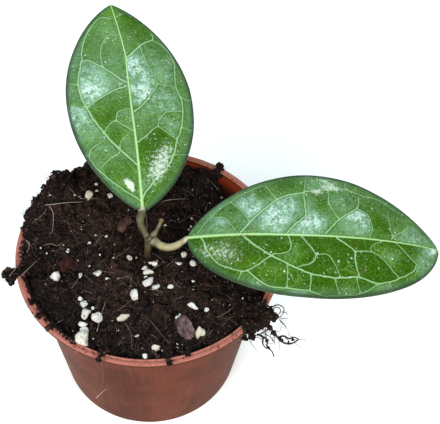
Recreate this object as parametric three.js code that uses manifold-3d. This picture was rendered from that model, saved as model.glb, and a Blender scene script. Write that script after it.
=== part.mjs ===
// A young hoya cutting with two large netted leaves, in a round plastic nursery pot of potting mix.
// Millimetres, +Z up. The origin is the centre of the pot's underside, and the pot's front is -Y.
import * as THREE from "three";
import { mergeVertices } from "three/addons/utils/BufferGeometryUtils.js";
import Module from "manifold-3d";

const wasm = await Module();
wasm.setup();

// Driving dimensions
const CLEARANCE = 0.3; // gap left between pieces that touch
const SLANT = 1.3; // a level gap is wider by this so that it is full across the pot's slanted shoulder
const SEGMENTS = 64; // sides of every round piece of the pot, and of the soil in it

const POT = {
  rimRadius: 52.5,
  height: 78,
  baseRadius: 39.4,
  wall: 1.1,
  floor: 2.2,
  lipThickness: 2.8,
  lipHeight: 1.8,
  shoulderBelowRim: 7.5, // the wall flares out to the lip above this
  shoulderRadius: 46.9,
  heelRadius: 2, // rounding between wall and base
};
const BASE = {
  footInner: 31, // the pot stands on the ring outside this and on the disc in the middle
  centreDisc: 14,
  recess: 0.8,
  holes: 8,
  holeRadius: 3.6,
  holeCircle: 23,
  notches: 4, // gaps in the foot ring that let water out
  notchWidth: 6,
};
const SOIL = {
  crown: 2, // height of the middle above the rim
  edgeDrop: 2.2, // depth of the edge below the rim
  rings: 15,
  coarse: 8, // size of its large lumps
  coarseRise: 1.3,
  fine: 3.6, // size of its small lumps
  fineRise: 0.8,
  stray: 16, // small perlite grains placed by chance
};
const BLADE = {
  thickness: 1.7,
  margin: 0.85,
  groove: 0.3, // along the midrib, above
  keel: 1.0, // the midrib's ridge, below
  recurve: 0.1, // how far the margins bend down, as a share of the half width
  sweep: 0.42, // how far a side vein runs towards the tip on its way to the margin
  sideVeins: 10,
  veinRise: 0.22,
};

// Broad places where the soil stands above or below its plain dome, as [x, y, rise, spread]
const HEAPS = [
  [-38, 27, 8, 10],
  [-45, 8, 3, 8],
  [46, 14, -9, 13],
  [47, -10, -4, 9],
  [34, -29, 3, 9],
  [-33, -9, 1.5, 6],
  [-6, 24, 1.5, 12],
  [41, 30, -6, 7],
];

// Lumps of soil that lie on the rim or spill over it, as [x, y, height above the rim, radius]
const SPILLS = [
  // the clod that hangs over the left of the rim
  [-40.5, -4, 1, 4.1],
  [-44.8, -7.4, 1.4, 4],
  [-49, -10.8, 1.2, 3.4],
  [-52.6, -11.6, 0.2, 3.1],
  [-55.2, -11.2, 0, 2.3],
  [-53.2, -13.4, -0.9, 2.1],
  // the clod that hangs over the right of the front, and the strand that trails from it
  [35, -31, 1.2, 4.8],
  [40.2, -30.4, 1.2, 4.2],
  [44.4, -32.4, 0.5, 3.6],
  [41.2, -35.4, -0.4, 3.6],
  [36.6, -37.2, -0.2, 3.8],
  [47.2, -33.2, -0.4, 2.8],
  [37.2, -41, -2, 2.4],
  [34.2, -41.6, -1.6, 2.4],
  [44.4, -37.2, -1.6, 2.6],
  [46.6, -39, -3.4, 2.2],
  [48.8, -40.4, -4.8, 1.9],
  [51.2, -40.6, -5.4, 1.8],
  [53.6, -40.8, -5.6, 1.7],
  // the heap along the back left of the rim
  [-46.6, 10, 0.5, 4.1],
  [-45.6, 16, 1.3, 4.4],
  [-43.6, 20.8, 2.4, 4.6],
  [-40, 26, 4, 4.4],
  [-37.6, 30.4, 7.6, 3.4],
  [-34.2, 31.4, 5, 4.2],
  [-28.6, 36.2, 1.4, 4.3],
  [-24.6, 39.6, 0.6, 3.9],
  // crumbs on the lip
  [-17.4, -45.4, -1.2, 3.3],
  [-18, -47, 0, 2.7],
  [-19.2, -49.8, 0.7, 2.1],
  [5.4, -48, -0.2, 2.9],
  [6.2, -52, 0.2, 2.2],
  [12.3, -46.4, -1, 3.1],
  [-42.2, -23.2, -0.9, 3.3],
  [-39.2, -28.6, -0.9, 3.2],
  [-35.2, -33.4, -1, 3.2],
  [28.6, 38.6, -1.4, 3.4],
  [31, 41.6, 0.2, 2.3],
];

// The larger perlite grains, as [x, y, length, width, turn in degrees]
const GRAINS = [
  [-36.3, -14.8, 3.9, 4.4, 20],
  [-20.3, -13.3, 3.1, 2.8, 0],
  [-26.7, -13.7, 1.5, 2.4, 0],
  [-0.5, -13.9, 5.2, 2.6, 4],
  [1, -9.9, 3.5, 2.6, -15],
  [-2.2, -11.5, 2.4, 1.7, 30],
  [-1.2, -18.4, 5.5, 3.1, 35],
  [1.6, -20.4, 3.7, 2.4, 25],
  [-8.1, -6.5, 2.2, 2.9, 0],
  [-6, -23.8, 4.2, 4.4, 0],
  [-24.7, -26.4, 3.5, 3.3, 15],
  [-24.2, -30.7, 3.9, 3.9, 0],
  [-20, -31.6, 4.2, 4.4, 40],
  [-10.4, -31.8, 4.8, 2.9, 30],
  [-25.1, -34.5, 3.1, 2.6, 0],
  [-24.3, -37.1, 3.3, 2.9, 0],
  [-24.8, -41.6, 5.7, 5.5, 10],
  [15.6, -29.4, 4.4, 2.4, -25],
  [20.5, -31.5, 2, 1.7, 0],
  [17.5, -39.6, 4, 5.5, 10],
  [10, -33.2, 2.4, 2.2, 0],
  [1.3, -45, 3.1, 2.9, 0],
  [-2.6, -47.9, 2.6, 2.4, 0],
  [10.9, -10.2, 3.5, 2, -20],
  [13, -6.7, 2.6, 2.6, 0],
  [16.5, -10.9, 2.6, 2.9, 0],
  [7.5, -20.2, 2.4, 1.8, 0],
  [-26.4, -23.5, 1.8, 1.7, 0],
  [-32, -2.2, 1.5, 1.8, 0],
  [-24.4, 23.8, 3.1, 4, 0],
  [-15.6, 24.5, 3.5, 2.4, 0],
];

// Chips of bark half sunk in the soil, with their size along, across and up
const BARK = {
  bark_chip_front: { x: 12.2, y: -37, size: [9.8, 6.4, 4], turn: -62, tilt: 10 },
  bark_chip_left: { x: -32.2, y: -10, size: [7.2, 4.8, 3.5], turn: 50, tilt: -14 },
  bark_chip_back: { x: -9.7, y: 9.4, size: [9.6, 3.8, 2.6], turn: 58, tilt: 12 },
};

// Each leaf grows from its base in a heading and slope that change evenly to the tip, in degrees.
// A heading of 0 is +X and one of 90 is +Y, and a roll lowers the blade's right side.
const LEAVES = {
  leaf_back: {
    base: [-2.4, -0.7, 23.7],
    heading: [93, 101],
    slope: [16, 5.5],
    roll: 5.5,
    length: 102,
    halfWidth: [24.6, 25.5],
    fullness: [0.75, 0.76],
  },
  leaf_right: {
    base: [14.5, -4.6, 11.3],
    heading: [-14.8, 6.5],
    slope: [25, -27.8],
    roll: 5.6,
    length: 102.5,
    halfWidth: [30, 25],
    fullness: [0.61, 0.63],
  },
};

// Centre lines of the stem's parts, as [x, y, height above the rim, radius]
const STALKS = {
  petioleBack: [
    [-0.5, -4.9, 12.4, 1.7],
    [-1.7, -4.4, 15.2, 1.85],
    [-3, -3.5, 18, 1.8],
    [-3.4, -2.5, 20.6, 1.7],
    [-3, -1.5, 22.6, 1.5],
    [-2.5, -1, 23.6, 1.3],
  ],
  petioleRight: [
    [0.1, -5.3, 12.2, 1.8],
    [2.1, -5.6, 10.9, 2.05],
    [4.3, -6.2, 9.4, 2.1],
    [6.9, -6.5, 8.6, 2.0],
    [9.9, -6, 8.8, 1.85],
    [12.4, -5.2, 9.9, 1.55],
    [14.1, -4.6, 11.1, 1.25],
  ],
  shoot: [
    [-0.2, -5, 12.6, 1.5],
    [1.2, -5.1, 14.2, 1.25],
    [1.9, -5, 15.6, 1.3],
    [2.5, -4.9, 16.5, 1.0],
    [3.7, -4.3, 19.5, 0.95],
    [4.6, -3.7, 22.3, 0.85],
  ],
  foot: [
    [-2.2, -4.8, -34, 1.2],
    [-1.8, -4.8, -8, 1.5],
    [-1.2, -4.8, 1, 1.5],
    [-0.8, -4.9, 5, 1.45],
    [-0.7, -4.8, 9, 1.55],
    [-0.3, -4.9, 12.6, 1.9],
    [-0.1, -5, 13.8, 1.6],
  ],
};

const radians = THREE.MathUtils.degToRad;

// Numbers from 0 to 1 that come in the same order each time.
function seededDraw(seed) {
  let state = seed;
  return () => {
    state = (Math.imul(state, 1664525) + 1013904223) >>> 0;
    return state / 4294967296;
  };
}

// A fixed number from -1 to 1 for each corner of a grid of unit cubes.
function cornerValue(i, j, k) {
  let h = Math.imul(i, 374761393) ^ Math.imul(j, 668265263) ^ Math.imul(k, 1103515245);
  h = Math.imul(h ^ (h >>> 13), 1274126177);
  return ((h ^ (h >>> 16)) >>> 0) / 2147483648 - 1;
}

// Smooth lumps from -1 to 1, about one to each unit of distance.
function lumps(x, y, z) {
  const [i, j, k] = [x, y, z].map(Math.floor);
  const [u, v, w] = [x - i, y - j, z - k].map((t) => t * t * (3 - 2 * t));
  const lerp = THREE.MathUtils.lerp;
  const edge = (b, c) => lerp(cornerValue(i, j + b, k + c), cornerValue(i + 1, j + b, k + c), u);
  return lerp(lerp(edge(0, 0), edge(1, 0), v), lerp(edge(0, 1), edge(1, 1), v), w);
}

// A closed geometry as a solid that can be cut and joined.
function solidOf(geometry) {
  const bare = geometry.clone();
  bare.deleteAttribute("normal");
  bare.deleteAttribute("uv");
  const merged = mergeVertices(bare, 1e-4);
  const index = merged.index.array;
  const kept = [];
  for (let i = 0; i < index.length; i += 3) {
    const [a, b, c] = [index[i], index[i + 1], index[i + 2]];
    if (a !== b && b !== c && c !== a) kept.push(a, b, c);
  }
  const vertProperties = new Float32Array(merged.attributes.position.array);
  return new wasm.Manifold(
    new wasm.Mesh({ numProp: 3, vertProperties, triVerts: new Uint32Array(kept) }),
  );
}

// The largest single body of a solid, as a geometry.
function geometryOf(solid) {
  const body = solid.decompose().sort((a, b) => b.volume() - a.volume())[0];
  const mesh = body.getMesh();
  return new THREE.BufferGeometry()
    .setAttribute("position", new THREE.BufferAttribute(mesh.vertProperties, 3))
    .setIndex(new THREE.BufferAttribute(mesh.triVerts, 1))
    .toNonIndexed();
}

// A geometry from rows of points, each row as long as the next, joined by two triangles a cell.
function sheetTriangles(rows, flipped) {
  const corners = [];
  for (let i = 0; i + 1 < rows.length; i++) {
    for (let j = 0; j + 1 < rows[i].length; j++) {
      const [a, b, c, d] = [rows[i][j], rows[i + 1][j], rows[i + 1][j + 1], rows[i][j + 1]];
      corners.push(...(flipped ? [a, c, b, a, d, c] : [a, b, c, a, c, d]));
    }
  }
  return corners;
}

function fromTriangles(corners) {
  return new THREE.BufferGeometry().setFromPoints(corners);
}

// The pot's inner radius and its plain outer radius at a height.
function outerRadius(z) {
  const { baseRadius, rimRadius, shoulderRadius, lipThickness, wall } = POT;
  const shoulder = POT.height - POT.shoulderBelowRim;
  if (z < shoulder) return THREE.MathUtils.lerp(baseRadius, shoulderRadius, z / shoulder);
  const flared = Math.min(1, (z - shoulder) / (POT.shoulderBelowRim - POT.lipHeight));
  return THREE.MathUtils.lerp(shoulderRadius, rimRadius - (lipThickness - wall), flared);
}

function innerRadius(z) {
  return outerRadius(z) - POT.wall;
}

function ringCutter(inner, outer, low, high) {
  const profile = [
    [inner, low],
    [outer, low],
    [outer, high],
    [inner, high],
    [inner, low],
  ];
  return solidOf(lathe(profile));
}

// A body of revolution about Z from [radius, height] pairs that run counter-clockwise.
function lathe(profile) {
  const points = profile.map(([r, z]) => new THREE.Vector2(r, z));
  return new THREE.LatheGeometry(points, SEGMENTS).rotateX(Math.PI / 2);
}

function potSolid() {
  const { height, floor, heelRadius, lipHeight, shoulderBelowRim, rimRadius, lipThickness } = POT;
  const profile = [
    [0, 0],
    [POT.baseRadius - heelRadius, 0],
  ];
  for (const angle of [30, 60, 90]) {
    const a = radians(angle);
    profile.push([
      POT.baseRadius - heelRadius * (1 - Math.sin(a)) + 0.03,
      heelRadius * (1 - Math.cos(a)),
    ]);
  }
  const shoulder = height - shoulderBelowRim;
  const underLip = height - lipHeight;
  const lipInner = rimRadius - lipThickness;
  profile.push(
    [outerRadius(shoulder), shoulder],
    [outerRadius(underLip - 0.4), underLip - 0.4],
    [rimRadius - 0.1, underLip],
    [rimRadius, underLip + 0.5],
    [rimRadius - 0.1, height - 0.4],
    [rimRadius - 0.5, height],
    [lipInner + 0.4, height],
    [lipInner, height - 0.4],
    [lipInner, underLip],
    [innerRadius(shoulder), shoulder],
    [innerRadius(floor + 1), floor + 1],
    [innerRadius(floor) - 1, floor],
    [0, floor],
  );
  let pot = solidOf(lathe(profile));
  const { centreDisc, footInner, recess } = BASE;
  pot = pot.subtract(ringCutter(centreDisc, footInner, -1, recess));
  for (let i = 0; i < BASE.holes; i++) {
    const angle = (2 * Math.PI * (i + 0.5)) / BASE.holes;
    const hole = new THREE.CylinderGeometry(BASE.holeRadius, BASE.holeRadius, 4 * floor, 16)
      .rotateX(Math.PI / 2)
      .translate(BASE.holeCircle * Math.cos(angle), BASE.holeCircle * Math.sin(angle), 0);
    pot = pot.subtract(solidOf(hole));
  }
  const notchLength = POT.baseRadius;
  for (let i = 0; i < BASE.notches; i++) {
    const notch = new THREE.BoxGeometry(notchLength, BASE.notchWidth, 2 * recess)
      .translate(footInner - 2 + notchLength / 2, 0, 0)
      .rotateZ((Math.PI / 2) * i);
    pot = pot.subtract(solidOf(notch));
  }
  return pot;
}

// The height of the soil's surface at a place.
function soilHeight(x, y) {
  const reach = Math.min(1, Math.hypot(x, y) / innerRadius(POT.height));
  let z = POT.height + SOIL.crown - (SOIL.crown + SOIL.edgeDrop) * reach ** 2.5;
  for (const [hx, hy, rise, spread] of HEAPS) {
    z += rise * Math.exp(-((x - hx) ** 2 + (y - hy) ** 2) / (2 * spread ** 2));
  }
  z += SOIL.coarseRise * lumps(x / SOIL.coarse, y / SOIL.coarse, 0);
  z += SOIL.fineRise * lumps(x / SOIL.fine, y / SOIL.fine, 7);
  return z;
}

// The fill of the pot: its top follows soilHeight, and its side follows the pot's inner wall.
function soilBody() {
  const bottom = POT.floor + CLEARANCE;
  const shoulder = POT.height - POT.shoulderBelowRim;
  const sideRadius = (z) => innerRadius(Math.min(z, POT.height)) - SLANT * CLEARANCE;
  const rows = [];
  for (let i = 0; i <= SOIL.rings; i++) {
    const row = [];
    for (let j = 0; j <= SEGMENTS; j++) {
      const angle = (2 * Math.PI * (j % SEGMENTS)) / SEGMENTS;
      const [c, s] = [Math.cos(angle), Math.sin(angle)];
      const rim = sideRadius(POT.height);
      const edge = sideRadius(soilHeight(rim * c, rim * s));
      const r = edge * (i / SOIL.rings);
      row.push(new THREE.Vector3(r * c, r * s, soilHeight(r * c, r * s)));
    }
    rows.push(row);
  }
  const edgeRow = rows[SOIL.rings];
  const ringAt = (radiusOf, zOf) =>
    edgeRow.map((p) => {
      const z = zOf(p.z);
      const scale = radiusOf(z) / Math.hypot(p.x, p.y);
      return new THREE.Vector3(p.x * scale, p.y * scale, z);
    });
  const under = ringAt(sideRadius, (z) => Math.min(z - 1, shoulder));
  const heel = ringAt(sideRadius, () => bottom + 1);
  const foot = ringAt((z) => sideRadius(z) - 1.2, () => bottom);
  const centre = edgeRow.map(() => new THREE.Vector3(0, 0, bottom));
  return solidOf(fromTriangles(sheetTriangles([...rows, under, heel, foot, centre], false)));
}

// A rough ball of a few flat faces, roughness being the depth of its dents as a share of its radius.
function roughBall(size, detail, roughness, turn, seed) {
  const ball = new THREE.IcosahedronGeometry(0.5, detail);
  const position = ball.attributes.position;
  const p = new THREE.Vector3();
  for (let i = 0; i < position.count; i++) {
    p.fromBufferAttribute(position, i);
    const dent = lumps(3 * p.x + seed, 3 * p.y, 3 * p.z);
    p.multiplyScalar(1 + roughness * dent);
    position.setXYZ(i, p.x * size[0], p.y * size[1], p.z * size[2]);
  }
  return ball.rotateX(0.3 * seed).rotateZ(radians(turn));
}

function spillSolid([x, y, rise, radius], i) {
  const detail = radius > 3.4 ? 1 : 0;
  const lump = roughBall([2 * radius, 2 * radius, 1.8 * radius], detail, 0.28, 40 * i, i);
  return solidOf(lump.translate(x, y, POT.height + rise));
}

function grainSolid([x, y, length, width, turn], i) {
  const detail = Math.max(length, width) > 5 ? 1 : 0;
  const thickness = 0.8 * Math.min(length, width);
  const grain = roughBall([length, width, thickness], detail, 0.25, turn, i + 50);
  return solidOf(grain.translate(x, y, soilHeight(x, y) + 0.22 * thickness));
}

// Small grains scattered over the soil by a fixed draw, kept off the rim.
function strayGrains() {
  const draw = seededDraw(11);
  const reach = innerRadius(POT.height) - 5;
  return Array.from({ length: SOIL.stray }, () => {
    const r = reach * Math.sqrt(draw());
    const angle = 2 * Math.PI * draw();
    const size = 1.3 + 0.9 * draw();
    return [r * Math.cos(angle), r * Math.sin(angle), size, 0.8 * size, 360 * draw()];
  });
}

// What the soil has to keep clear of at the rim: the wall and lip with the clearance all round.
function rimKeepOut() {
  const low = POT.height - 24;
  const top = POT.height + CLEARANCE;
  const shoulder = POT.height - POT.shoulderBelowRim;
  const underLip = POT.height - POT.lipHeight;
  const lipLow = underLip - 2 * CLEARANCE;
  const gap = SLANT * CLEARANCE;
  const inside = (z) => innerRadius(z) - 0.95 * gap;
  return solidOf(
    lathe([
      [inside(low), low],
      [outerRadius(low) + gap, low],
      [outerRadius(shoulder) + gap, shoulder],
      [outerRadius(lipLow) + gap, lipLow],
      [POT.rimRadius + CLEARANCE, lipLow + CLEARANCE],
      [POT.rimRadius + CLEARANCE, top],
      [inside(POT.height), top],
      [inside(underLip), underLip],
      [inside(shoulder), shoulder],
      [inside(low), low],
    ]),
  );
}

// A chip of bark, or with grow the pocket in the soil that it lies in.
function barkGeometry({ x, y, size, turn, tilt }, grow) {
  const chip = roughBall(size.map((s) => s + 2 * grow), 1, 0.12, 0, 3);
  return chip
    .rotateY(radians(tilt))
    .rotateZ(radians(turn))
    .translate(x, y, soilHeight(x, y) + 0.12 * size[2]);
}

// A closed tube with round sections along a smooth line through [x, y, height, radius] points.
function stalkGeometry(points, steps, grow = 0) {
  const sides = 10;
  const places = points.map(([x, y, rise]) => new THREE.Vector3(x, y, POT.height + rise));
  const line = new THREE.CatmullRomCurve3(places, false, "centripetal");
  const frames = line.computeFrenetFrames(steps, false);
  const rows = [];
  for (let i = 0; i <= steps; i++) {
    const t = i / steps;
    const at = line.getPointAt(t);
    const knot = line.getUtoTmapping(t) * (points.length - 1);
    const k = Math.min(points.length - 2, Math.floor(knot));
    const radius = THREE.MathUtils.lerp(points[k][3], points[k + 1][3], knot - k) + grow;
    rows.push(
      Array.from({ length: sides + 1 }, (_, j) => {
        const angle = (2 * Math.PI * (j % sides)) / sides;
        return at
          .clone()
          .addScaledVector(frames.normals[i], radius * Math.cos(angle))
          .addScaledVector(frames.binormals[i], radius * Math.sin(angle));
      }),
    );
  }
  const startCap = rows[0].map(() => line.getPointAt(0));
  const endCap = rows[0].map(() => line.getPointAt(1));
  return fromTriangles(sheetTriangles([startCap, ...rows, endCap], true));
}

// A block that starts just short of a leaf's base and reaches forward over its first part.
function leafBaseBlock(leaf) {
  const size = 8;
  const { at, along, lateral, normal } = midribFrames(leaf, 1)[0];
  const centre = at.clone().addScaledVector(along, size / 2 - CLEARANCE);
  const turn = new THREE.Matrix4().makeBasis(along, lateral, normal).setPosition(centre);
  return solidOf(new THREE.BoxGeometry(size, size, size).applyMatrix4(turn));
}

function stemSolid() {
  const { foot, petioleBack, petioleRight, shoot } = STALKS;
  return solidOf(stalkGeometry(foot, 12))
    .add(solidOf(stalkGeometry(petioleBack, 10)))
    .add(solidOf(stalkGeometry(petioleRight, 12)))
    .subtract(leafBaseBlock(LEAVES.leaf_back))
    .subtract(leafBaseBlock(LEAVES.leaf_right))
    .add(solidOf(stalkGeometry(shoot, 10)));
}

function soilSolid() {
  let soil = soilBody();
  SPILLS.forEach((spill, i) => (soil = soil.add(spillSolid(spill, i))));
  [...GRAINS, ...strayGrains()].forEach((grain, i) => (soil = soil.add(grainSolid(grain, i))));
  soil = soil.subtract(rimKeepOut());
  soil = soil.subtract(solidOf(stalkGeometry(STALKS.foot, 12, CLEARANCE)));
  for (const chip of Object.values(BARK)) {
    soil = soil.subtract(solidOf(barkGeometry(chip, CLEARANCE)));
  }
  return soil;
}

// A leaf's midrib as frames of position and directions, at equal steps from its base to its tip.
function midribFrames(leaf, steps) {
  const at = new THREE.Vector3(...leaf.base).setZ(leaf.base[2] + POT.height);
  const roll = radians(leaf.roll);
  const frames = [];
  for (let i = 0; i <= steps; i++) {
    const t = i / steps;
    const heading = radians(THREE.MathUtils.lerp(...leaf.heading, t));
    const slope = radians(THREE.MathUtils.lerp(...leaf.slope, t));
    const along = new THREE.Vector3(
      Math.cos(slope) * Math.cos(heading),
      Math.cos(slope) * Math.sin(heading),
      Math.sin(slope),
    );
    const left = new THREE.Vector3(-Math.sin(heading), Math.cos(heading), 0);
    const up = along.clone().cross(left);
    const lateral = left.clone().multiplyScalar(Math.cos(roll)).addScaledVector(up, Math.sin(roll));
    const normal = up.multiplyScalar(Math.cos(roll)).addScaledVector(left, -Math.sin(roll));
    frames.push({ at: at.clone(), along, lateral, normal });
    at.addScaledVector(along, leaf.length / steps);
  }
  return frames;
}

// The share of its half width that a blade has at a share of its length.
function outline(a, [atBase, atTip]) {
  const widest = atBase / (atBase + atTip);
  return (a / widest) ** atBase * ((1 - a) / (1 - widest)) ** atTip;
}

// A blade whose rows follow its side veins, from the midrib out and towards the tip.
function bladeGeometry(leaf) {
  const half = [0.05, 0.14, 0.34, 0.56, 0.79, 1];
  const across = [...half.map((v) => -v).reverse(), 0, ...half];
  const rowCount = 4 * BLADE.sideVeins;
  const frames = midribFrames(leaf, 50 * rowCount);
  const top = [];
  const bottom = [];
  for (let i = 0; i <= rowCount; i++) {
    const station = i / rowCount;
    const onVein = i % 4 === 0 ? 1 : -0.4;
    const topRow = [];
    const bottomRow = [];
    for (const v of across) {
      const a = station + BLADE.sweep * Math.abs(v) * station * (1 - station);
      const frame = frames[Math.round(a * (frames.length - 1))];
      const halfWidth = leaf.halfWidth[v > 0 ? 0 : 1] * outline(a, leaf.fullness);
      const x = halfWidth * v;
      const bend = BLADE.recurve * halfWidth * v * v;
      const thick = THREE.MathUtils.lerp(BLADE.thickness, BLADE.margin, v * v) / 2;
      const rib = Math.exp(-((x / 1.3) ** 2));
      const vein = onVein * BLADE.veinRise * (1 - v * v) * (1 - rib) * Math.sin(Math.PI * a);
      const rise = thick - BLADE.groove * rib - 0.5 * vein;
      const drop = thick + BLADE.keel * rib * (1 - 0.8 * a) + vein;
      const middle = frame.at.clone().addScaledVector(frame.lateral, x);
      topRow.push(middle.clone().addScaledVector(frame.normal, rise - bend));
      bottomRow.push(middle.clone().addScaledVector(frame.normal, -drop - bend));
    }
    top.push(topRow);
    bottom.push(bottomRow);
  }
  const last = across.length - 1;
  const rightEdge = top.map((row, i) => [row[0], bottom[i][0]]);
  const leftEdge = top.map((row, i) => [row[last], bottom[i][last]]);
  return fromTriangles([
    ...sheetTriangles(top, false),
    ...sheetTriangles(bottom, true),
    ...sheetTriangles(rightEdge, true),
    ...sheetTriangles(leftEdge, false),
  ]);
}

const COLOURS = {
  terracotta: new THREE.MeshStandardMaterial({ color: 0x9a5444, roughness: 0.5, metalness: 0 }),
  peat: new THREE.MeshStandardMaterial({ color: 0x1c1310, roughness: 1, metalness: 0 }),
  bark: new THREE.MeshStandardMaterial({ color: 0x4a2a24, roughness: 0.9, metalness: 0 }),
  stalk: new THREE.MeshStandardMaterial({ color: 0x9a8f62, roughness: 0.6, metalness: 0 }),
  leaf: new THREE.MeshStandardMaterial({ color: 0x2f6b2a, roughness: 0.4, metalness: 0 }),
};

function piece(name, geometry, material) {
  const mesh = new THREE.Mesh(geometry, material);
  mesh.name = name;
  return mesh;
}

const plant = new THREE.Group();
plant.add(piece("stem", geometryOf(stemSolid()), COLOURS.stalk));
for (const [name, leaf] of Object.entries(LEAVES)) {
  plant.add(piece(name, geometryOf(solidOf(bladeGeometry(leaf))), COLOURS.leaf));
}

const holder = new THREE.Group();
holder.add(piece("pot", geometryOf(potSolid()), COLOURS.terracotta));
holder.add(piece("soil", geometryOf(soilSolid()), COLOURS.peat));
for (const [name, chip] of Object.entries(BARK)) {
  holder.add(piece(name, geometryOf(solidOf(barkGeometry(chip, 0))), COLOURS.bark));
}

const pottedHoya = new THREE.Group();
pottedHoya.add(holder, plant);
export default pottedHoya;
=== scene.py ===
"""The looks of a young hoya cutting in a round nursery pot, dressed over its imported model.

Shapes are worked out in millimetres on the model's own axes: +Z is up, the origin is the middle of the pot's
underside, and the pot's front is towards -Y. They become metres only where a mesh is made.
"""

from __future__ import annotations

import logging
import math
from collections.abc import Callable
from dataclasses import dataclass, field
from enum import Enum
from typing import TypeVar

import bpy
import numpy as np
from mathutils import Matrix, Vector

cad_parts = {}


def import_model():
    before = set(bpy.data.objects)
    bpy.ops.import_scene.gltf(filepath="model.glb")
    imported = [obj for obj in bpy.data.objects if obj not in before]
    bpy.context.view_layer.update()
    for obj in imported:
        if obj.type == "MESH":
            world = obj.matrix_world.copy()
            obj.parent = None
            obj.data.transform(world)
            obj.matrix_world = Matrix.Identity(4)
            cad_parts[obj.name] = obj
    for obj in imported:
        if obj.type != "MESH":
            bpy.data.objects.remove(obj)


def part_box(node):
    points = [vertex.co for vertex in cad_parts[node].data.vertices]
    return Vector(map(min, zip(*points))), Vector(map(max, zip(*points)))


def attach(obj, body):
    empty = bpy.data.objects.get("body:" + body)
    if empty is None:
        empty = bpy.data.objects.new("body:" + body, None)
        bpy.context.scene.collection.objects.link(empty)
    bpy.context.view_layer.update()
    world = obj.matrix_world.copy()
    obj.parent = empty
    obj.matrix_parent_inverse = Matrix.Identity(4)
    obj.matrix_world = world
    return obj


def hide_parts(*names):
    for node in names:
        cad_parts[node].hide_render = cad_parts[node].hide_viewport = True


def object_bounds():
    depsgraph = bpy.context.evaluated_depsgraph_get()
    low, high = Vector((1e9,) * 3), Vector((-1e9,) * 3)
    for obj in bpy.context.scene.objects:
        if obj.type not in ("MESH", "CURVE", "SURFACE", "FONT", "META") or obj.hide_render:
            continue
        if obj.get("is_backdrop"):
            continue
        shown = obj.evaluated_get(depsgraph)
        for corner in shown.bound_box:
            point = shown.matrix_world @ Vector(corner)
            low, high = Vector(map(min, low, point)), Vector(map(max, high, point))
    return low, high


MM = 0.001
BODY = "root"
LOG = logging.getLogger("potted_hoya")
GOLDEN = 0.618034
BIT_MIXERS = np.array([374761393, 668265263, 1103515245, 1274126177], np.uint32)

Points = np.ndarray
Colour = tuple[float, float, float]
Span = tuple[float, float]
Row = tuple[float, ...]
Line = tuple[float | Row, ...]
Draws = np.random.Generator
Kind = TypeVar("Kind")


def table(kind: Callable[..., Kind], *rows: Row) -> tuple[Kind, ...]:
    """Makes one thing of a kind from each row of its numbers."""
    return tuple(kind(*row) for row in rows)


# Numbers


def corner_values(cells: np.ndarray) -> np.ndarray:
    """Mixes the bits of a cube's three whole numbers into one fixed value.

    Args:
        cells: whole numbers, three in the last axis.
    Returns:
        Values from -1 to 1, one for each cube.
    """
    i, j, k = np.moveaxis(cells.astype(np.int64).astype(np.uint32), -1, 0)
    mixed = i * BIT_MIXERS[0] ^ j * BIT_MIXERS[1] ^ k * BIT_MIXERS[2]
    mixed = (mixed ^ (mixed >> np.uint32(13))) * BIT_MIXERS[3]
    return (mixed ^ (mixed >> np.uint32(16))).astype(float) / 2.0**31 - 1.0


def lumps(points: Points) -> np.ndarray:
    """Smooth lumps, about one to a unit: corner values blended by 3t^2 - 2t^3 along each axis.

    Args:
        points: places, three numbers in the last axis.
    Returns:
        Values from -1 to 1, one for each place.
    """
    cell = np.floor(points)
    part = points - cell
    part = part * part * (3.0 - 2.0 * part)
    total = np.zeros(points.shape[:-1])
    for corner in np.ndindex(2, 2, 2):
        share = np.where(np.array(corner) == 1, part, 1.0 - part)
        total += np.prod(share, axis=-1) * corner_values(cell + corner)
    return total


def rough(points: Points, octaves: int = 3, shift: float = 19.0) -> np.ndarray:
    """Lumps on lumps: each layer has half the size and half the height of the one before.

    Args:
        points: places, three numbers in the last axis.
        octaves: number of layers.
        shift: how far each layer is moved against the one before.
    Returns:
        Values of about -1 to 1, one for each place.
    """
    total = np.zeros(points.shape[:-1])
    for n in range(octaves):
        total += lumps(points * 2.0**n + shift * n) * 0.5**n
    return total / (2.0 - 0.5 ** (octaves - 1))


def grain_distances(points: Points, stray: float = 0.42, shift: int = 31) -> tuple[np.ndarray, np.ndarray]:
    """Distances to the nearest and next nearest of seeds strewn one to a unit cube.

    Args:
        points: places, three numbers in the last axis.
        stray: how far a seed lies from its cube's middle, times three corner values.
        shift: step between the cubes that give those three values.
    Returns:
        Nearest and next nearest distance, one pair for each place.
    """
    cell = np.floor(points)
    nearest = np.full(points.shape[:-1], 9.0)
    second = nearest.copy()
    for step in np.ndindex(3, 3, 3):
        neighbour = cell + (np.array(step) - 1)
        moved = np.stack([corner_values(neighbour + shift * n) for n in (1, 2, 3)], -1)
        away = np.linalg.norm(points - (neighbour + 0.5 + stray * moved), axis=-1)
        second = np.minimum(second, np.maximum(nearest, away))
        nearest = np.minimum(nearest, away)
    return nearest, second


def level_points(x: np.ndarray, y: np.ndarray, z: float = 0.0) -> Points:
    """Stacks two arrays of one shape and a constant into places."""
    return np.stack([x, y, np.full_like(x, z)], -1)


def around(radius: np.ndarray | float, angle: np.ndarray, z: np.ndarray | float) -> Points:
    """Places about the Z axis: (r cos t, r sin t, z)."""
    return np.stack(np.broadcast_arrays(radius * np.cos(angle), radius * np.sin(angle), z), -1)


def full_turn(count: int) -> np.ndarray:
    """Angles evenly round a circle."""
    return np.linspace(0, 2 * math.pi, count, endpoint=False)


def unit(vectors: Points) -> Points:
    """Vectors brought to length 1."""
    return vectors / np.linalg.norm(vectors, axis=-1, keepdims=True)


def blend(low: np.ndarray | float, high: np.ndarray | float, share: np.ndarray) -> np.ndarray:
    """Goes from low to high in a straight line as share goes from 0 to 1."""
    return low + (high - low) * share


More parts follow.
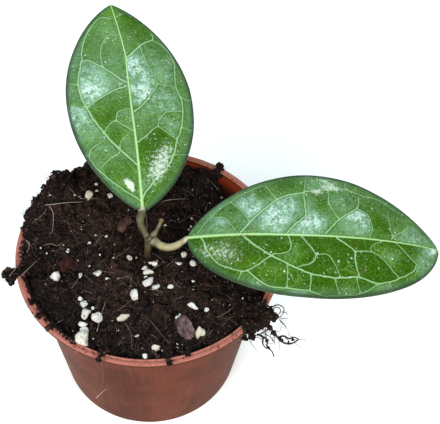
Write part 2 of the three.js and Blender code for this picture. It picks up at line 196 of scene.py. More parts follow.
def smooth_step(value: np.ndarray, start: float, end: float) -> np.ndarray:
    """Rises from 0 to 1 between start and end, with level ends: 3t^2 - 2t^3."""
    t = np.clip((value - start) / (end - start), 0.0, 1.0)
    return t * t * (3.0 - 2.0 * t)


def smooth_path(knots: np.ndarray, count: int) -> np.ndarray:
    """Runs a Catmull-Rom curve through knots of any number of columns.

    Args:
        knots: one row for each knot.
        count: number of points wanted, evenly spaced between the knots.
    Returns:
        The points, one row each, with the knots' columns.
    """
    padded = np.concatenate([2 * knots[:1] - knots[1:2], knots, 2 * knots[-1:] - knots[-2:-1]])
    at = np.linspace(0, len(knots) - 1, count)
    first = np.minimum(at.astype(int), len(knots) - 2)
    t = (at - first)[:, None]
    before, start, end, after = (padded[first + n] for n in range(4))
    squared, cubed = 2 * before - 5 * start + 4 * end - after, 3 * (start - end) + after - before
    return start + 0.5 * t * (end - before + t * (squared + t * cubed))


def turn_matrix(axis: str, degrees: float) -> np.ndarray:
    """The 3 by 3 matrix of a turn about X, Y or Z."""
    return np.array(Matrix.Rotation(math.radians(degrees), 3, axis))


def random_turns(draw: Draws, count: int) -> np.ndarray:
    """Turns in all directions alike, from quaternions of four normal draws.

    Args:
        draw: source of the draws.
        count: number of turns.
    Returns:
        One 3 by 3 matrix for each.
    """
    w, x, y, z = unit(draw.normal(size=(count, 4))).T
    rows = [
        [1 - 2 * (y * y + z * z), 2 * (x * y - z * w), 2 * (x * z + y * w)],
        [2 * (x * y + z * w), 1 - 2 * (x * x + z * z), 2 * (y * z - x * w)],
        [2 * (x * z - y * w), 2 * (y * z + x * w), 1 - 2 * (x * x + y * y)],
    ]
    return np.moveaxis(np.array(rows), -1, 0)


# Shapes


@dataclass
class Shape:
    """A closed skin: places in millimetres, triangles, and named values for each place."""

    points: Points
    faces: np.ndarray
    values: dict[str, np.ndarray] = field(default_factory=dict)

    @staticmethod
    def joined(shapes: list[Shape]) -> Shape:
        """Puts several shapes with the same named values into one.

        Args:
            shapes: the shapes.
        Returns:
            One shape that holds them all.
        """
        starts = np.cumsum([0] + [len(s.points) for s in shapes])
        return Shape(
            np.concatenate([s.points for s in shapes]),
            np.concatenate([s.faces + start for s, start in zip(shapes, starts)]),
            {name: np.concatenate([s.values[name] for s in shapes]) for name in shapes[0].values},
        )

    def welded(self) -> Shape:
        """Merges places that fall together, and drops the triangles that this collapses.

        Returns:
            The shape with its seams and poles closed.
        """
        keys = np.round(self.points * 1e4).astype(np.int64)
        _, first, place = np.unique(keys, axis=0, return_index=True, return_inverse=True)
        faces = place.reshape(-1)[self.faces]
        a, b, c = faces.T
        whole = (a != b) & (b != c) & (c != a)
        return Shape(self.points[first], faces[whole], {n: v[first] for n, v in self.values.items()})


def ring_walls(index: np.ndarray) -> np.ndarray:
    """Joins closed rings of point numbers, one ring a row, by two triangles a cell."""
    a, d = index[:-1], index[1:]
    b, c = np.roll(a, -1, 1), np.roll(d, -1, 1)
    return np.stack([a, b, c, a, c, d], -1).reshape(-1, 3)


def capped_rings(rings: int, columns: int) -> np.ndarray:
    """Joins a first pole, rings of points and a last pole into a closed skin.

    Args:
        rings: number of rings.
        columns: points in each ring.
    Returns:
        Triangles of point numbers; the poles are the first and the last point.
    """
    index = 1 + np.arange(rings * columns).reshape(rings, columns)
    first, last = index[0], index[-1]
    start = np.stack([np.zeros_like(first), np.roll(first, -1), first], -1)
    end = np.stack([last, np.roll(last, -1), np.full_like(last, 1 + rings * columns)], -1)
    return np.concatenate([start, ring_walls(index), end])


def grid_triangles(rows: int, columns: int, flipped: bool = False) -> np.ndarray:
    """Joins an open grid of points, numbered row by row, by two triangles a cell.

    Args:
        rows: number of rows.
        columns: points in each row.
        flipped: turns the faces round.
    Returns:
        Triangles of point numbers.
    """
    index = np.arange(rows * columns).reshape(rows, columns)
    a, b, c, d = index[:-1, :-1], index[1:, :-1], index[1:, 1:], index[:-1, 1:]
    corners = [a, c, b, a, d, c] if flipped else [a, b, c, a, c, d]
    return np.stack(corners, -1).reshape(-1, 3)


def ball(rings: int, columns: int) -> tuple[Points, np.ndarray]:
    """A unit sphere of latitude rings: (sin p cos t, sin p sin t, -cos p).

    Args:
        rings: number of rings between the poles.
        columns: points in each ring.
    Returns:
        Unit directions and triangles.
    """
    p = np.linspace(0, math.pi, rings + 2)[1:-1, None]
    skin = around(np.sin(p), full_turn(columns), -np.cos(p)).reshape(-1, 3)
    return np.concatenate([[[0, 0, -1.0]], skin, [[0, 0, 1.0]]]), capped_rings(rings, columns)


def own_numbers(count: int, each: int) -> np.ndarray:
    """A number from 0 to 1 for each of many copies, once for each of its points."""
    return np.repeat((np.arange(count) * GOLDEN) % 1.0, each)


@dataclass(frozen=True)
class Cut:
    """How a ball is flattened: number of flats, their distances in radii, and how sharp their edges are."""

    flats: int = 7
    nearest: float = 0.5
    farthest: float = 0.95
    sharpness: float = 9.0


def flattened(direction: Points, count: int, cut: Cut, draw: Draws) -> np.ndarray:
    """Radii of balls with rounded flats: (1 + sum of (d . n / h)^s)^(-1/s), with normals n and distances h.

    Args:
        direction: unit directions of a ball's points.
        count: number of balls.
        cut: how the flats lie.
        draw: source of the random draws.
    Returns:
        Radii, one row for each ball.
    """
    normals = unit(draw.normal(size=(count, cut.flats, 3)))
    distances = draw.uniform(cut.nearest, cut.farthest, (count, 1, cut.flats))
    facing = np.maximum(np.einsum("nki,mi->nmk", normals, direction), 0.0) / distances
    return (1.0 + np.sum(facing**cut.sharpness, -1)) ** (-1.0 / cut.sharpness)


def strewn_balls(
    places: Points, sizes: Points, turns: np.ndarray, grid: tuple[int, int], dents: float, cut: Cut = Cut()
) -> Shape:
    """Copies one ball to many places, each with flats and dents of its own.

    A point is place + turn (half size times direction, times flattened radius + dents times rough lumps).

    Args:
        places: middle of each copy.
        sizes: length, width and height of each copy.
        turns: one 3 by 3 matrix for each copy.
        grid: rings of a ball, and points in a ring.
        dents: depth of the dents, as a share of the radius.
        cut: how each is flattened.
    Returns:
        All copies in one shape, with the copy's own number from 0 to 1 as the value "own".
    """
    direction, faces = ball(*grid)
    count = len(places)
    far_apart = 7.3 * np.arange(count)[:, None, None]
    depth = flattened(direction, count, cut, np.random.default_rng(count))
    depth = depth + dents * rough(direction[None] * 2.1 + far_apart)
    local = direction[None] * depth[..., None] * sizes[:, None] * 0.5
    points = places[:, None] + np.einsum("nij,nmj->nmi", turns, local)
    shifted = faces[None] + np.arange(count)[:, None, None] * len(direction)
    return Shape(points.reshape(-1, 3), shifted.reshape(-1, 3), {"own": own_numbers(count, len(direction))})


def tubes(paths: np.ndarray, radii: np.ndarray, sides: int, reference: np.ndarray) -> Shape:
    """Carries a round section along many paths: path + radius (side cos t + up sin t).

    Side is the reference with its part along the path taken away, and up is path direction x side.

    Args:
        paths: points along each path, as (paths, points, 3).
        radii: radius at each point, as (paths, points).
        sides: points round the section.
        reference: a direction that no path runs along, for all or one for each path.
    Returns:
        All tubes in one shape, each closed by a pole at both ends, with the tube's own number as "own".
    """
    count, length, _ = paths.shape
    along = unit(np.gradient(paths, axis=1))
    reference = np.broadcast_to(reference, (count, 3))[:, None]
    side = unit(reference - along * np.sum(reference * along, -1, keepdims=True))
    up = np.cross(along, side)
    t = full_turn(sides)[None, None, :, None]
    out = side[:, :, None] * np.cos(t) + up[:, :, None] * np.sin(t)
    rings = paths[:, :, None] + radii[..., None, None] * out
    points = np.concatenate([paths[:, :1], rings.reshape(count, -1, 3), paths[:, -1:]], 1)
    faces = capped_rings(length, sides)[None] + np.arange(count)[:, None, None] * points.shape[1]
    return Shape(points.reshape(-1, 3), faces.reshape(-1, 3), {"own": own_numbers(count, points.shape[1])})


def store_value(mesh: bpy.types.Mesh, name: str, numbers: np.ndarray) -> None:
    """Keeps one number a vertex as a named attribute."""
    store = mesh.attributes.get(name) or mesh.attributes.new(name, "FLOAT", "POINT")
    store.data.foreach_set("value", numbers.astype(np.float32).ravel())


def mesh_of(name: str, shape: Shape) -> bpy.types.Mesh:
    """Makes a smooth-shaded mesh in metres, with the shape's values as attributes.

    Args:
        name: name of the mesh.
        shape: its skin in millimetres.
    Returns:
        The mesh.
    """
    mesh = bpy.data.meshes.new(name)
    mesh.vertices.add(len(shape.points))
    mesh.vertices.foreach_set("co", (shape.points * MM).astype(np.float32).ravel())
    mesh.loops.add(3 * len(shape.faces))
    mesh.loops.foreach_set("vertex_index", shape.faces.astype(np.int32).ravel())
    mesh.polygons.add(len(shape.faces))
    mesh.polygons.foreach_set("loop_start", np.arange(0, 3 * len(shape.faces), 3, dtype=np.int32))
    mesh.update(calc_edges=True)
    mesh.validate()
    mesh.shade_smooth()
    for value_name, numbers in shape.values.items():
        store_value(mesh, value_name, numbers)
    return mesh


def linked(name: str, data: Shape | bpy.types.ID) -> bpy.types.Object:
    """Puts an object in the scene.

    Args:
        name: its name.
        data: a shape in millimetres, or a camera's or light's data.
    Returns:
        The object.
    """
    made = bpy.data.objects.new(name, mesh_of(name, data) if isinstance(data, Shape) else data)
    bpy.context.scene.collection.objects.link(made)
    return made


def dressed(
    made: bpy.types.Object, material: bpy.types.Material, node: str | None = None
) -> bpy.types.Object:
    """Gives an object its finish and ties it to the frame.

    Args:
        made: the object, in place.
        material: its finish.
        node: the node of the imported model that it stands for, if any.
    Returns:
        The same object, riding on the model's one body.
    """
    made.data.materials.clear()
    made.data.materials.append(material)
    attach(made, BODY)
    if node:
        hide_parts(node)
    LOG.info("%s: %d triangles", made.name, len(made.data.loop_triangles) or len(made.data.polygons))
    return made


def apply_modifiers(made: bpy.types.Object) -> None:
    """Replaces an object's mesh by what its modifiers make of it, and removes them.

    Args:
        made: the object.
    """
    evaluated = made.evaluated_get(bpy.context.evaluated_depsgraph_get())
    finished = bpy.data.meshes.new_from_object(evaluated)
    made.modifiers.clear()
    made.data = finished


def vertex_data(source: bpy.types.bpy_prop_collection, name: str) -> Points:
    """Reads three numbers for each vertex."""
    flat = np.empty(3 * len(source), np.float32)
    source.foreach_get(name, flat)
    return flat.reshape(-1, 3).astype(float)


# Shader graphs


class Value:
    """One number that a shader works out over a surface, on which Python's arithmetic works."""

    def __init__(self, graph: Graph, socket: bpy.types.NodeSocket) -> None:
        """Wraps a node's output socket."""
        self.graph = graph
        self.socket = socket

    def math(self, operation: str, *others: Value | float) -> Value:
        """Adds a Math node whose first number is this one.

        Args:
            operation: the Math node's operation.
            others: the numbers that follow.
        Returns:
            The node's result.
        """
        return self.graph.math(operation, self, *others)

    def __add__(self, other: Value | float) -> Value:
        """This plus another."""
        return self.math("ADD", other)

    __radd__ = __add__

    def __mul__(self, other: Value | float) -> Value:
        """This times another."""
        return self.math("MULTIPLY", other)

    __rmul__ = __mul__

    def __sub__(self, other: Value | float) -> Value:
        """This less another."""
        return self.math("SUBTRACT", other)

    def __rsub__(self, other: float) -> Value:
        """Another less this."""
        return self.graph.math("SUBTRACT", other, self)

    def __pow__(self, other: float) -> Value:
        """This to a power."""
        return self.math("POWER", other)

    def between(self, start: float, end: float) -> Value:
        """Rises smoothly from 0 to 1 as this goes from start to end, which may be the lower one.

        Args:
            start: where the rise begins.
            end: where it is done.
        Returns:
            A number from 0 to 1.
        """
        low, high = min(start, end), max(start, end)
        node = self.graph.make(
            "ShaderNodeMapRange",
            {"interpolation_type": "SMOOTHSTEP"},
            {"Value": self, "From Min": low, "From Max": high, "To Min": 0.0, "To Max": 1.0},
        )
        risen = Value(self.graph, node.outputs["Result"])
        return risen if start < end else 1.0 - risen

    def at_most(self, other: Value | float) -> Value:
        """The smaller of this and another."""
        return self.math("MINIMUM", other)

    def at_least(self, other: Value | float) -> Value:
        """The larger of this and another."""
        return self.math("MAXIMUM", other)


Socket = bpy.types.NodeSocket
Tint = Colour | Socket
Inputs = dict[str | int, object]


class Graph:
    """A material's node tree round one Principled shader."""

    def __init__(self, name: str, **constants: float) -> None:
        """Starts a material.

        Args:
            name: name of the material.
            constants: shader settings that are the same all over, with spaces as underscores.
        """
        self.material = bpy.data.materials.new(name)
        self.material.use_nodes = True
        self.tree = self.material.node_tree
        self.tree.nodes.clear()
        self.shader = self.make("ShaderNodeBsdfPrincipled")
        self.make("ShaderNodeOutputMaterial", sockets={"Surface": self.shader.outputs["BSDF"]})
        for key, number in constants.items():
            self.shader.inputs[key.replace("_", " ")].default_value = number
        self.place = self.make("ShaderNodeTexCoord").outputs["Object"]

    def make(self, kind: str, settings: Inputs | None = None, sockets: Inputs | None = None) -> bpy.types.Node:
        """Adds any node: its settings first, then the values or links of its sockets.

        Args:
            kind: type of the node.
            settings: names and values of its properties.
            sockets: names or numbers of its inputs, and a number, colour, Value or socket for each.
        Returns:
            The node.
        """
        node = self.tree.nodes.new(kind)
        for name, value in (settings or {}).items():
            setattr(node, name, value)
        for name, value in (sockets or {}).items():
            source = value.socket if isinstance(value, Value) else value
            if isinstance(source, bpy.types.NodeSocket):
                self.tree.links.new(source, node.inputs[name])
            else:
                node.inputs[name].default_value = source
        return node

    def math(self, operation: str, *numbers: Value | float) -> Value:
        """Adds a Math node and returns its result."""
        node = self.make("ShaderNodeMath", {"operation": operation}, dict(enumerate(numbers)))
        return Value(self, node.outputs[0])

    def set(self, name: str, value: Value | Socket) -> None:
        """Links what changes over the surface to an input of the shader."""
        source = value.socket if isinstance(value, Value) else value
        self.tree.links.new(source, self.shader.inputs[name])

    def attribute(self, name: str) -> Value:
        """Reads one of the piece's own values."""
        return Value(self, self.make("ShaderNodeAttribute", {"attribute_name": name}).outputs["Fac"])

    def stretched(self, place: Socket, scale: Row) -> Socket:
        """Scales coordinates along each axis."""
        node = self.make("ShaderNodeVectorMath", {"operation": "MULTIPLY"}, {0: place, 1: scale})
        return node.outputs["Vector"]

    def along(self, axis: str) -> Value:
        """A place's X, Y or Z in millimetres."""
        return Value(self, self.make("ShaderNodeSeparateXYZ", sockets={0: self.place}).outputs[axis]) * 1000.0

    def noise(self, size: float, detail: float = 3.0, place: Socket | None = None, rough: float = 0.55) -> Value:
        """Cloudy noise from 0 to 1 whose blotches are about a size in millimetres.

        Args:
            size: size of the largest blotches.
            detail: layers of finer ones.
            place: coordinates in metres, or the object's own.
            rough: strength of the finer ones.
        Returns:
            The noise.
        """
        sockets = {"Vector": place or self.place, "Scale": 1000.0 / size, "Detail": detail, "Roughness": rough}
        return Value(self, self.make("ShaderNodeTexNoise", sockets=sockets).outputs[0])

    def cells(self, size: float, feature: str = "F1", place: Socket | None = None) -> bpy.types.Node:
        """Adds a Voronoi node with cells of a size in millimetres."""
        sockets = {"Vector": place or self.place, "Scale": 1000.0 / size}
        return self.make("ShaderNodeTexVoronoi", {"feature": feature}, sockets)

    def specks(self, size: float, reach: float, place: Socket | None = None) -> Value:
        """Round specks, one to a cell, of which a random share is larger.

        Args:
            size: size of the cells in millimetres.
            reach: radius of the largest speck, as a share of the cell.
            place: coordinates in metres, or the object's own.
        Returns:
            1 on a speck and 0 off it.
        """
        node = self.cells(size, place=place)
        away = Value(self, node.outputs["Distance"])
        own = Value(self, self.make("ShaderNodeSeparateXYZ", sockets={0: node.outputs["Color"]}).outputs[0])
        limit = reach * own**3
        return (limit - away).between(-0.02, 0.05)

    def mix(self, share: Value | float, low: Tint, high: Tint) -> Socket:
        """Mixes two colours.

        Args:
            share: 0 for the first colour, 1 for the second.
            low: the first colour.
            high: the second colour.
        Returns:
            The mixed colour.
        """
        ends = [(*tint, 1.0) if isinstance(tint, tuple) else tint for tint in (low, high)]
        sockets = {0: share, 6: ends[0], 7: ends[1]}
        return self.make("ShaderNodeMix", {"data_type": "RGBA"}, sockets).outputs[2]

    def finished(self, colour: Socket, roughness: Value, height: Value, ruffle: Span) -> bpy.types.Material:
        """Gives the shader its colour and roughness, and lets a height from 0 to 1 ruffle the shading.

        Args:
            colour: the colour.
            roughness: the roughness.
            height: the height.
            ruffle: share of the effect, and the height of 1 in millimetres.
        Returns:
            The material.
        """
        self.set("Base Color", colour)
        self.set("Roughness", roughness)
        sockets = {"Height": height, "Strength": ruffle[0], "Distance": ruffle[1] * MM}
        self.set("Normal", self.make("ShaderNodeBump", sockets=sockets).outputs["Normal"])
        return self.material


# Finishes


@dataclass(frozen=True)
class PotPlastic:
    """Moulded terracotta-coloured plastic: mottled, faintly streaked down the wall and dusted with dry soil.

    Each span says where along X or Z, in millimetres, a change of tone begins and where it is done. The lip's
    top gets a painted highlight, and painted shade darkens the wall under the lip, its right side and the inside
    low down.
    """

    wall: Colour = (0.124, 0.029, 0.013)
    wall_dark: Colour = (0.068, 0.014, 0.005)
    inside: Colour = (0.27, 0.034, 0.009)
    # painted highlight: the colour of the lip's top, lighter than the wall as if lit from above
    lip: Colour = (0.44, 0.160, 0.122)
    shaded: Colour = (0.018, 0.004, 0.002)
    dust: Colour = (0.165, 0.070, 0.047)
    dirt: Colour = (0.035, 0.022, 0.017)
    under_lip: Span = (64.0, 73.0)
    right_side: Span = (20.0, 44.0)
    left_side: Span = (-20.0, -46.0)
    smeared_side: Span = (22.0, 40.0)
    down_inside: Span = (77.5, 72.0)
    to_foot: Span = (44.0, 2.0)

    def material(self) -> bpy.types.Material:
        """Builds the finish.

        Returns:
            The material, which reads the values "inside" and "lip"; "lip" is the lip's top, which gets a painted
            highlight.
        """
        g = Graph("pot_plastic", IOR=1.47, Specular_IOR_Level=0.06)
        x, z, lit_lip_top = g.along("X"), g.along("Z"), g.attribute("lip")
        streaks = g.noise(2.2, 4.0, g.stretched(g.place, (1.0, 1.0, 0.04)))
        mottle = (g.noise(16.0, 5.0) + g.noise(20.0, 3.0, g.stretched(g.place, (1.0, 1.0, 0.15)))) * 0.5
        grime = g.noise(7.0, 6.0, rough=0.7)
        colour = g.mix(mottle.between(0.38, 0.62), self.wall_dark, self.wall)
        colour = g.mix(streaks.between(0.45, 0.75) * 0.3, colour, self.dust)
        # painted shade: darker under the lip and towards the right side
        shade = z.between(*self.under_lip).at_least(x.between(*self.right_side))
        colour = g.mix(shade * 0.9, colour, self.wall_dark)
        inside = g.mix(z.between(*self.down_inside), self.inside, self.shaded)
        colour = g.mix(g.attribute("inside"), colour, inside)
        # painted highlight on the lip's top
        colour = g.mix(lit_lip_top, colour, self.lip)
        low = z.between(*self.to_foot)
        # paler towards the left side, in the dust colour
        paler_left = x.between(*self.left_side) * (1.0 - lit_lip_top) * 0.45
        dusty = (grime.between(0.4, 0.75) * (0.16 + 0.3 * low)).at_least(paler_left)
        colour = g.mix(dusty, colour, self.dust)
        smears = g.noise(2.6, 5.0, g.stretched(g.place, (1.0, 1.0, 0.5)), 0.7).between(0.58, 0.70)
        smears = smears * low.at_least(x.between(*self.smeared_side) * 0.8)
        spots = g.specks(3.4, 0.16).at_most(grime.between(0.42, 0.5)).at_least(smears * 0.5)
        colour = g.mix(spots * 0.75, colour, self.dirt)
        colour = g.mix(lit_lip_top * g.noise(1.6, 4.0).between(0.54, 0.68) * 0.35, colour, self.dirt)
        roughness = 0.36 + 0.25 * grime + 0.15 * streaks
        return g.finished(colour, roughness, g.noise(0.5, 3.0) * 0.5 + streaks * 0.5 + spots, (0.35, 0.12))


@dataclass(frozen=True)
class PottingMix:
    """Moist peat and coir: near-black crumbs with browner ones, damp glints and rusty scraps, and painted shade
    in the hollows.
    """

    deep: Colour = (0.004, 0.0028, 0.0026)
    dark: Colour = (0.0135, 0.0082, 0.0068)
    brown: Colour = (0.072, 0.037, 0.027)
    rusty: Colour = (0.115, 0.046, 0.030)
    pale: Colour = (0.34, 0.27, 0.24)

    def material(self) -> bpy.types.Material:
        """Builds the finish.

        Returns:
            The material, which reads "own" of loose crumbs, "peaty" of the surface, and "hollow_shade", the
            painted shade in the hollows of the surface and the clods.
        """
        g = Graph("potting_mix", IOR=1.4, Specular_IOR_Level=0.18)
        broad = g.noise(9.0, 4.0)
        fine = g.noise(1.1, 5.0, rough=0.7)
        threads = g.noise(1.6, 3.0, g.stretched(g.place, (0.35, 1.6, 0.8)), 0.6)
        colour = g.mix(fine.between(0.38, 0.62), self.deep, self.dark)
        colour = g.mix(broad.between(0.45, 0.7) * fine.between(0.4, 0.75) * 0.8, colour, self.brown)
        colour = g.mix(g.attribute("own").between(0.74, 0.98) * 0.7, colour, self.brown)
        peaty = g.attribute("peaty")
        colour = g.mix(peaty * fine.between(0.35, 0.6) * 0.6, colour, self.brown)
        colour = g.mix(threads.between(0.60, 0.72) * (0.5 + 0.4 * peaty), colour, self.rusty)
        # painted shade in the hollows between crumbs and on the hidden side of the fill
        colour = g.mix(g.attribute("hollow_shade"), colour, self.deep)
        colour = g.mix(g.specks(1.0, 0.38) * 0.7, colour, self.rusty)
        colour = g.mix(g.specks(1.3, 0.22) * 0.8, colour, self.pale)
        return g.finished(colour, 0.62 + 0.35 * fine, g.noise(0.7, 5.0, rough=0.75), (0.9, 0.5))


@dataclass(frozen=True)
class Perlite:
    """Puffed white volcanic glass, dull, with a few smears of soil."""

    white: Colour = (0.68, 0.67, 0.645)
    cream: Colour = (0.56, 0.52, 0.38)
    soiled: Colour = (0.10, 0.065, 0.05)

    def material(self) -> bpy.types.Material:
        """Builds the finish.

        Returns:
            The material, which reads the values "own" and "stained".
        """
        g = Graph("perlite", IOR=1.35, Specular_IOR_Level=0.2)
        smear = g.noise(1.4, 4.0)
        colour = g.mix(g.attribute("own").between(0.55, 1.0) * 0.45, self.white, self.cream)
        colour = g.mix(smear.between(0.59, 0.70) * 0.8, colour, self.soiled)
        colour = g.mix(g.specks(1.1, 0.3) * 0.6, colour, self.soiled)
        colour = g.mix(g.attribute("stained") * 0.75, colour, self.cream)
        return g.finished(colour, 0.75 + 0.2 * smear, g.noise(0.8, 4.0), (0.9, 0.5))


@dataclass(frozen=True)
class Coir:
    """Fine plant fibres, from near black to straw."""

    dark: Colour = (0.030, 0.020, 0.017)
    tan: Colour = (0.160, 0.105, 0.085)
    straw: Colour = (0.52, 0.43, 0.37)

    def material(self) -> bpy.types.Material:
        """Builds the finish.

        Returns:
            The material, which reads the value "own".
        """
        g = Graph("coir_fibre", IOR=1.4, Specular_IOR_Level=0.2)
        own = g.attribute("own")
        colour = g.mix(own.between(0.1, 0.75), self.dark, self.tan)
        colour = g.mix(own.between(0.82, 1.0), colour, self.straw)
        colour = g.mix(g.noise(1.5, 2.0).between(0.5, 0.75) * 0.5, colour, self.dark)
        return g.finished(colour, 0.55 + 0.3 * own, g.noise(0.4, 2.0), (0.3, 0.05))


@dataclass(frozen=True)
class BarkSkin:
    """Weathered bark, flaky along its length."""

    name: str
    light: Colour
    dark: Colour

    def material(self) -> bpy.types.Material:
        """Builds the finish.

        Returns:
            The material.
        """
        g = Graph(self.name, IOR=1.45, Specular_IOR_Level=0.15)
        flakes = g.noise(2.2, 5.0, g.stretched(g.place, (1.0, 0.4, 1.0)), 0.65)
        pores = g.noise(0.6, 3.0)
        colour = g.mix(flakes.between(0.38, 0.66), self.dark, self.light)
        colour = g.mix(pores.between(0.58, 0.75) * 0.5, colour, self.dark)
        return g.finished(colour, 0.6 + 0.3 * pores, flakes * 0.7 + pores * 0.3, (0.8, 0.5))


@dataclass(frozen=True)
class StalkSkin:
    """Green-tan living stem: browner and corky low down and at the node, whitish where a blade begins, yellower
    along the right stalk with a painted highlight on its bulge, and painted shade on its undersides.
    """

    tan: Colour = (0.118, 0.117, 0.060)
    olive: Colour = (0.055, 0.048, 0.020)
    # yellow of the right stalk, also used for the painted highlight on its bulge
    yellow_and_highlight: Colour = (0.42, 0.39, 0.21)
    corky: Colour = (0.052, 0.030, 0.017)
    whitish: Colour = (0.50, 0.46, 0.38)
    golden: Colour = (0.19, 0.115, 0.035)

    def material(self) -> bpy.types.Material:
        """Builds the finish.

        Returns:
            The material, which reads the values "yellow_and_highlight_share", "golden", "cork", "collar" and
            "below"; the last is painted shade on the undersides.
        """
        g = Graph("stalk_skin", IOR=1.43, Specular_IOR_Level=0.3, Coat_Weight=0.15, Coat_Roughness=0.3)
        blotch = g.noise(2.6, 4.0)
        grain = g.noise(0.7, 3.0)
        colour = g.mix(blotch.between(0.40, 0.60), self.olive, self.tan)
        # yellower right stalk, with a painted highlight on its bulge
        colour = g.mix(g.attribute("yellow_and_highlight_share") * (0.55 + 0.9 * (blotch - 0.3)), colour, self.yellow_and_highlight)
        colour = g.mix(g.attribute("golden") * (0.35 + 0.6 * grain), colour, self.golden)
        cork = g.attribute("cork") + (blotch - 0.5) * 0.5
        colour = g.mix(cork.between(0.2, 0.62), colour, self.corky)
        collar = g.attribute("collar") + (grain - 0.5) * 0.6
        colour = g.mix(collar.between(0.3, 0.75) * 0.85, colour, self.whitish)
        colour = g.mix(g.specks(1.3, 0.25) * 0.7, colour, self.corky)
        # painted shade on the undersides
        colour = g.mix(g.attribute("below") * 0.8, colour, self.olive)
        return g.finished(colour, 0.42 + 0.3 * blotch, grain * 0.6 + blotch * 0.4, (0.7, 0.25))


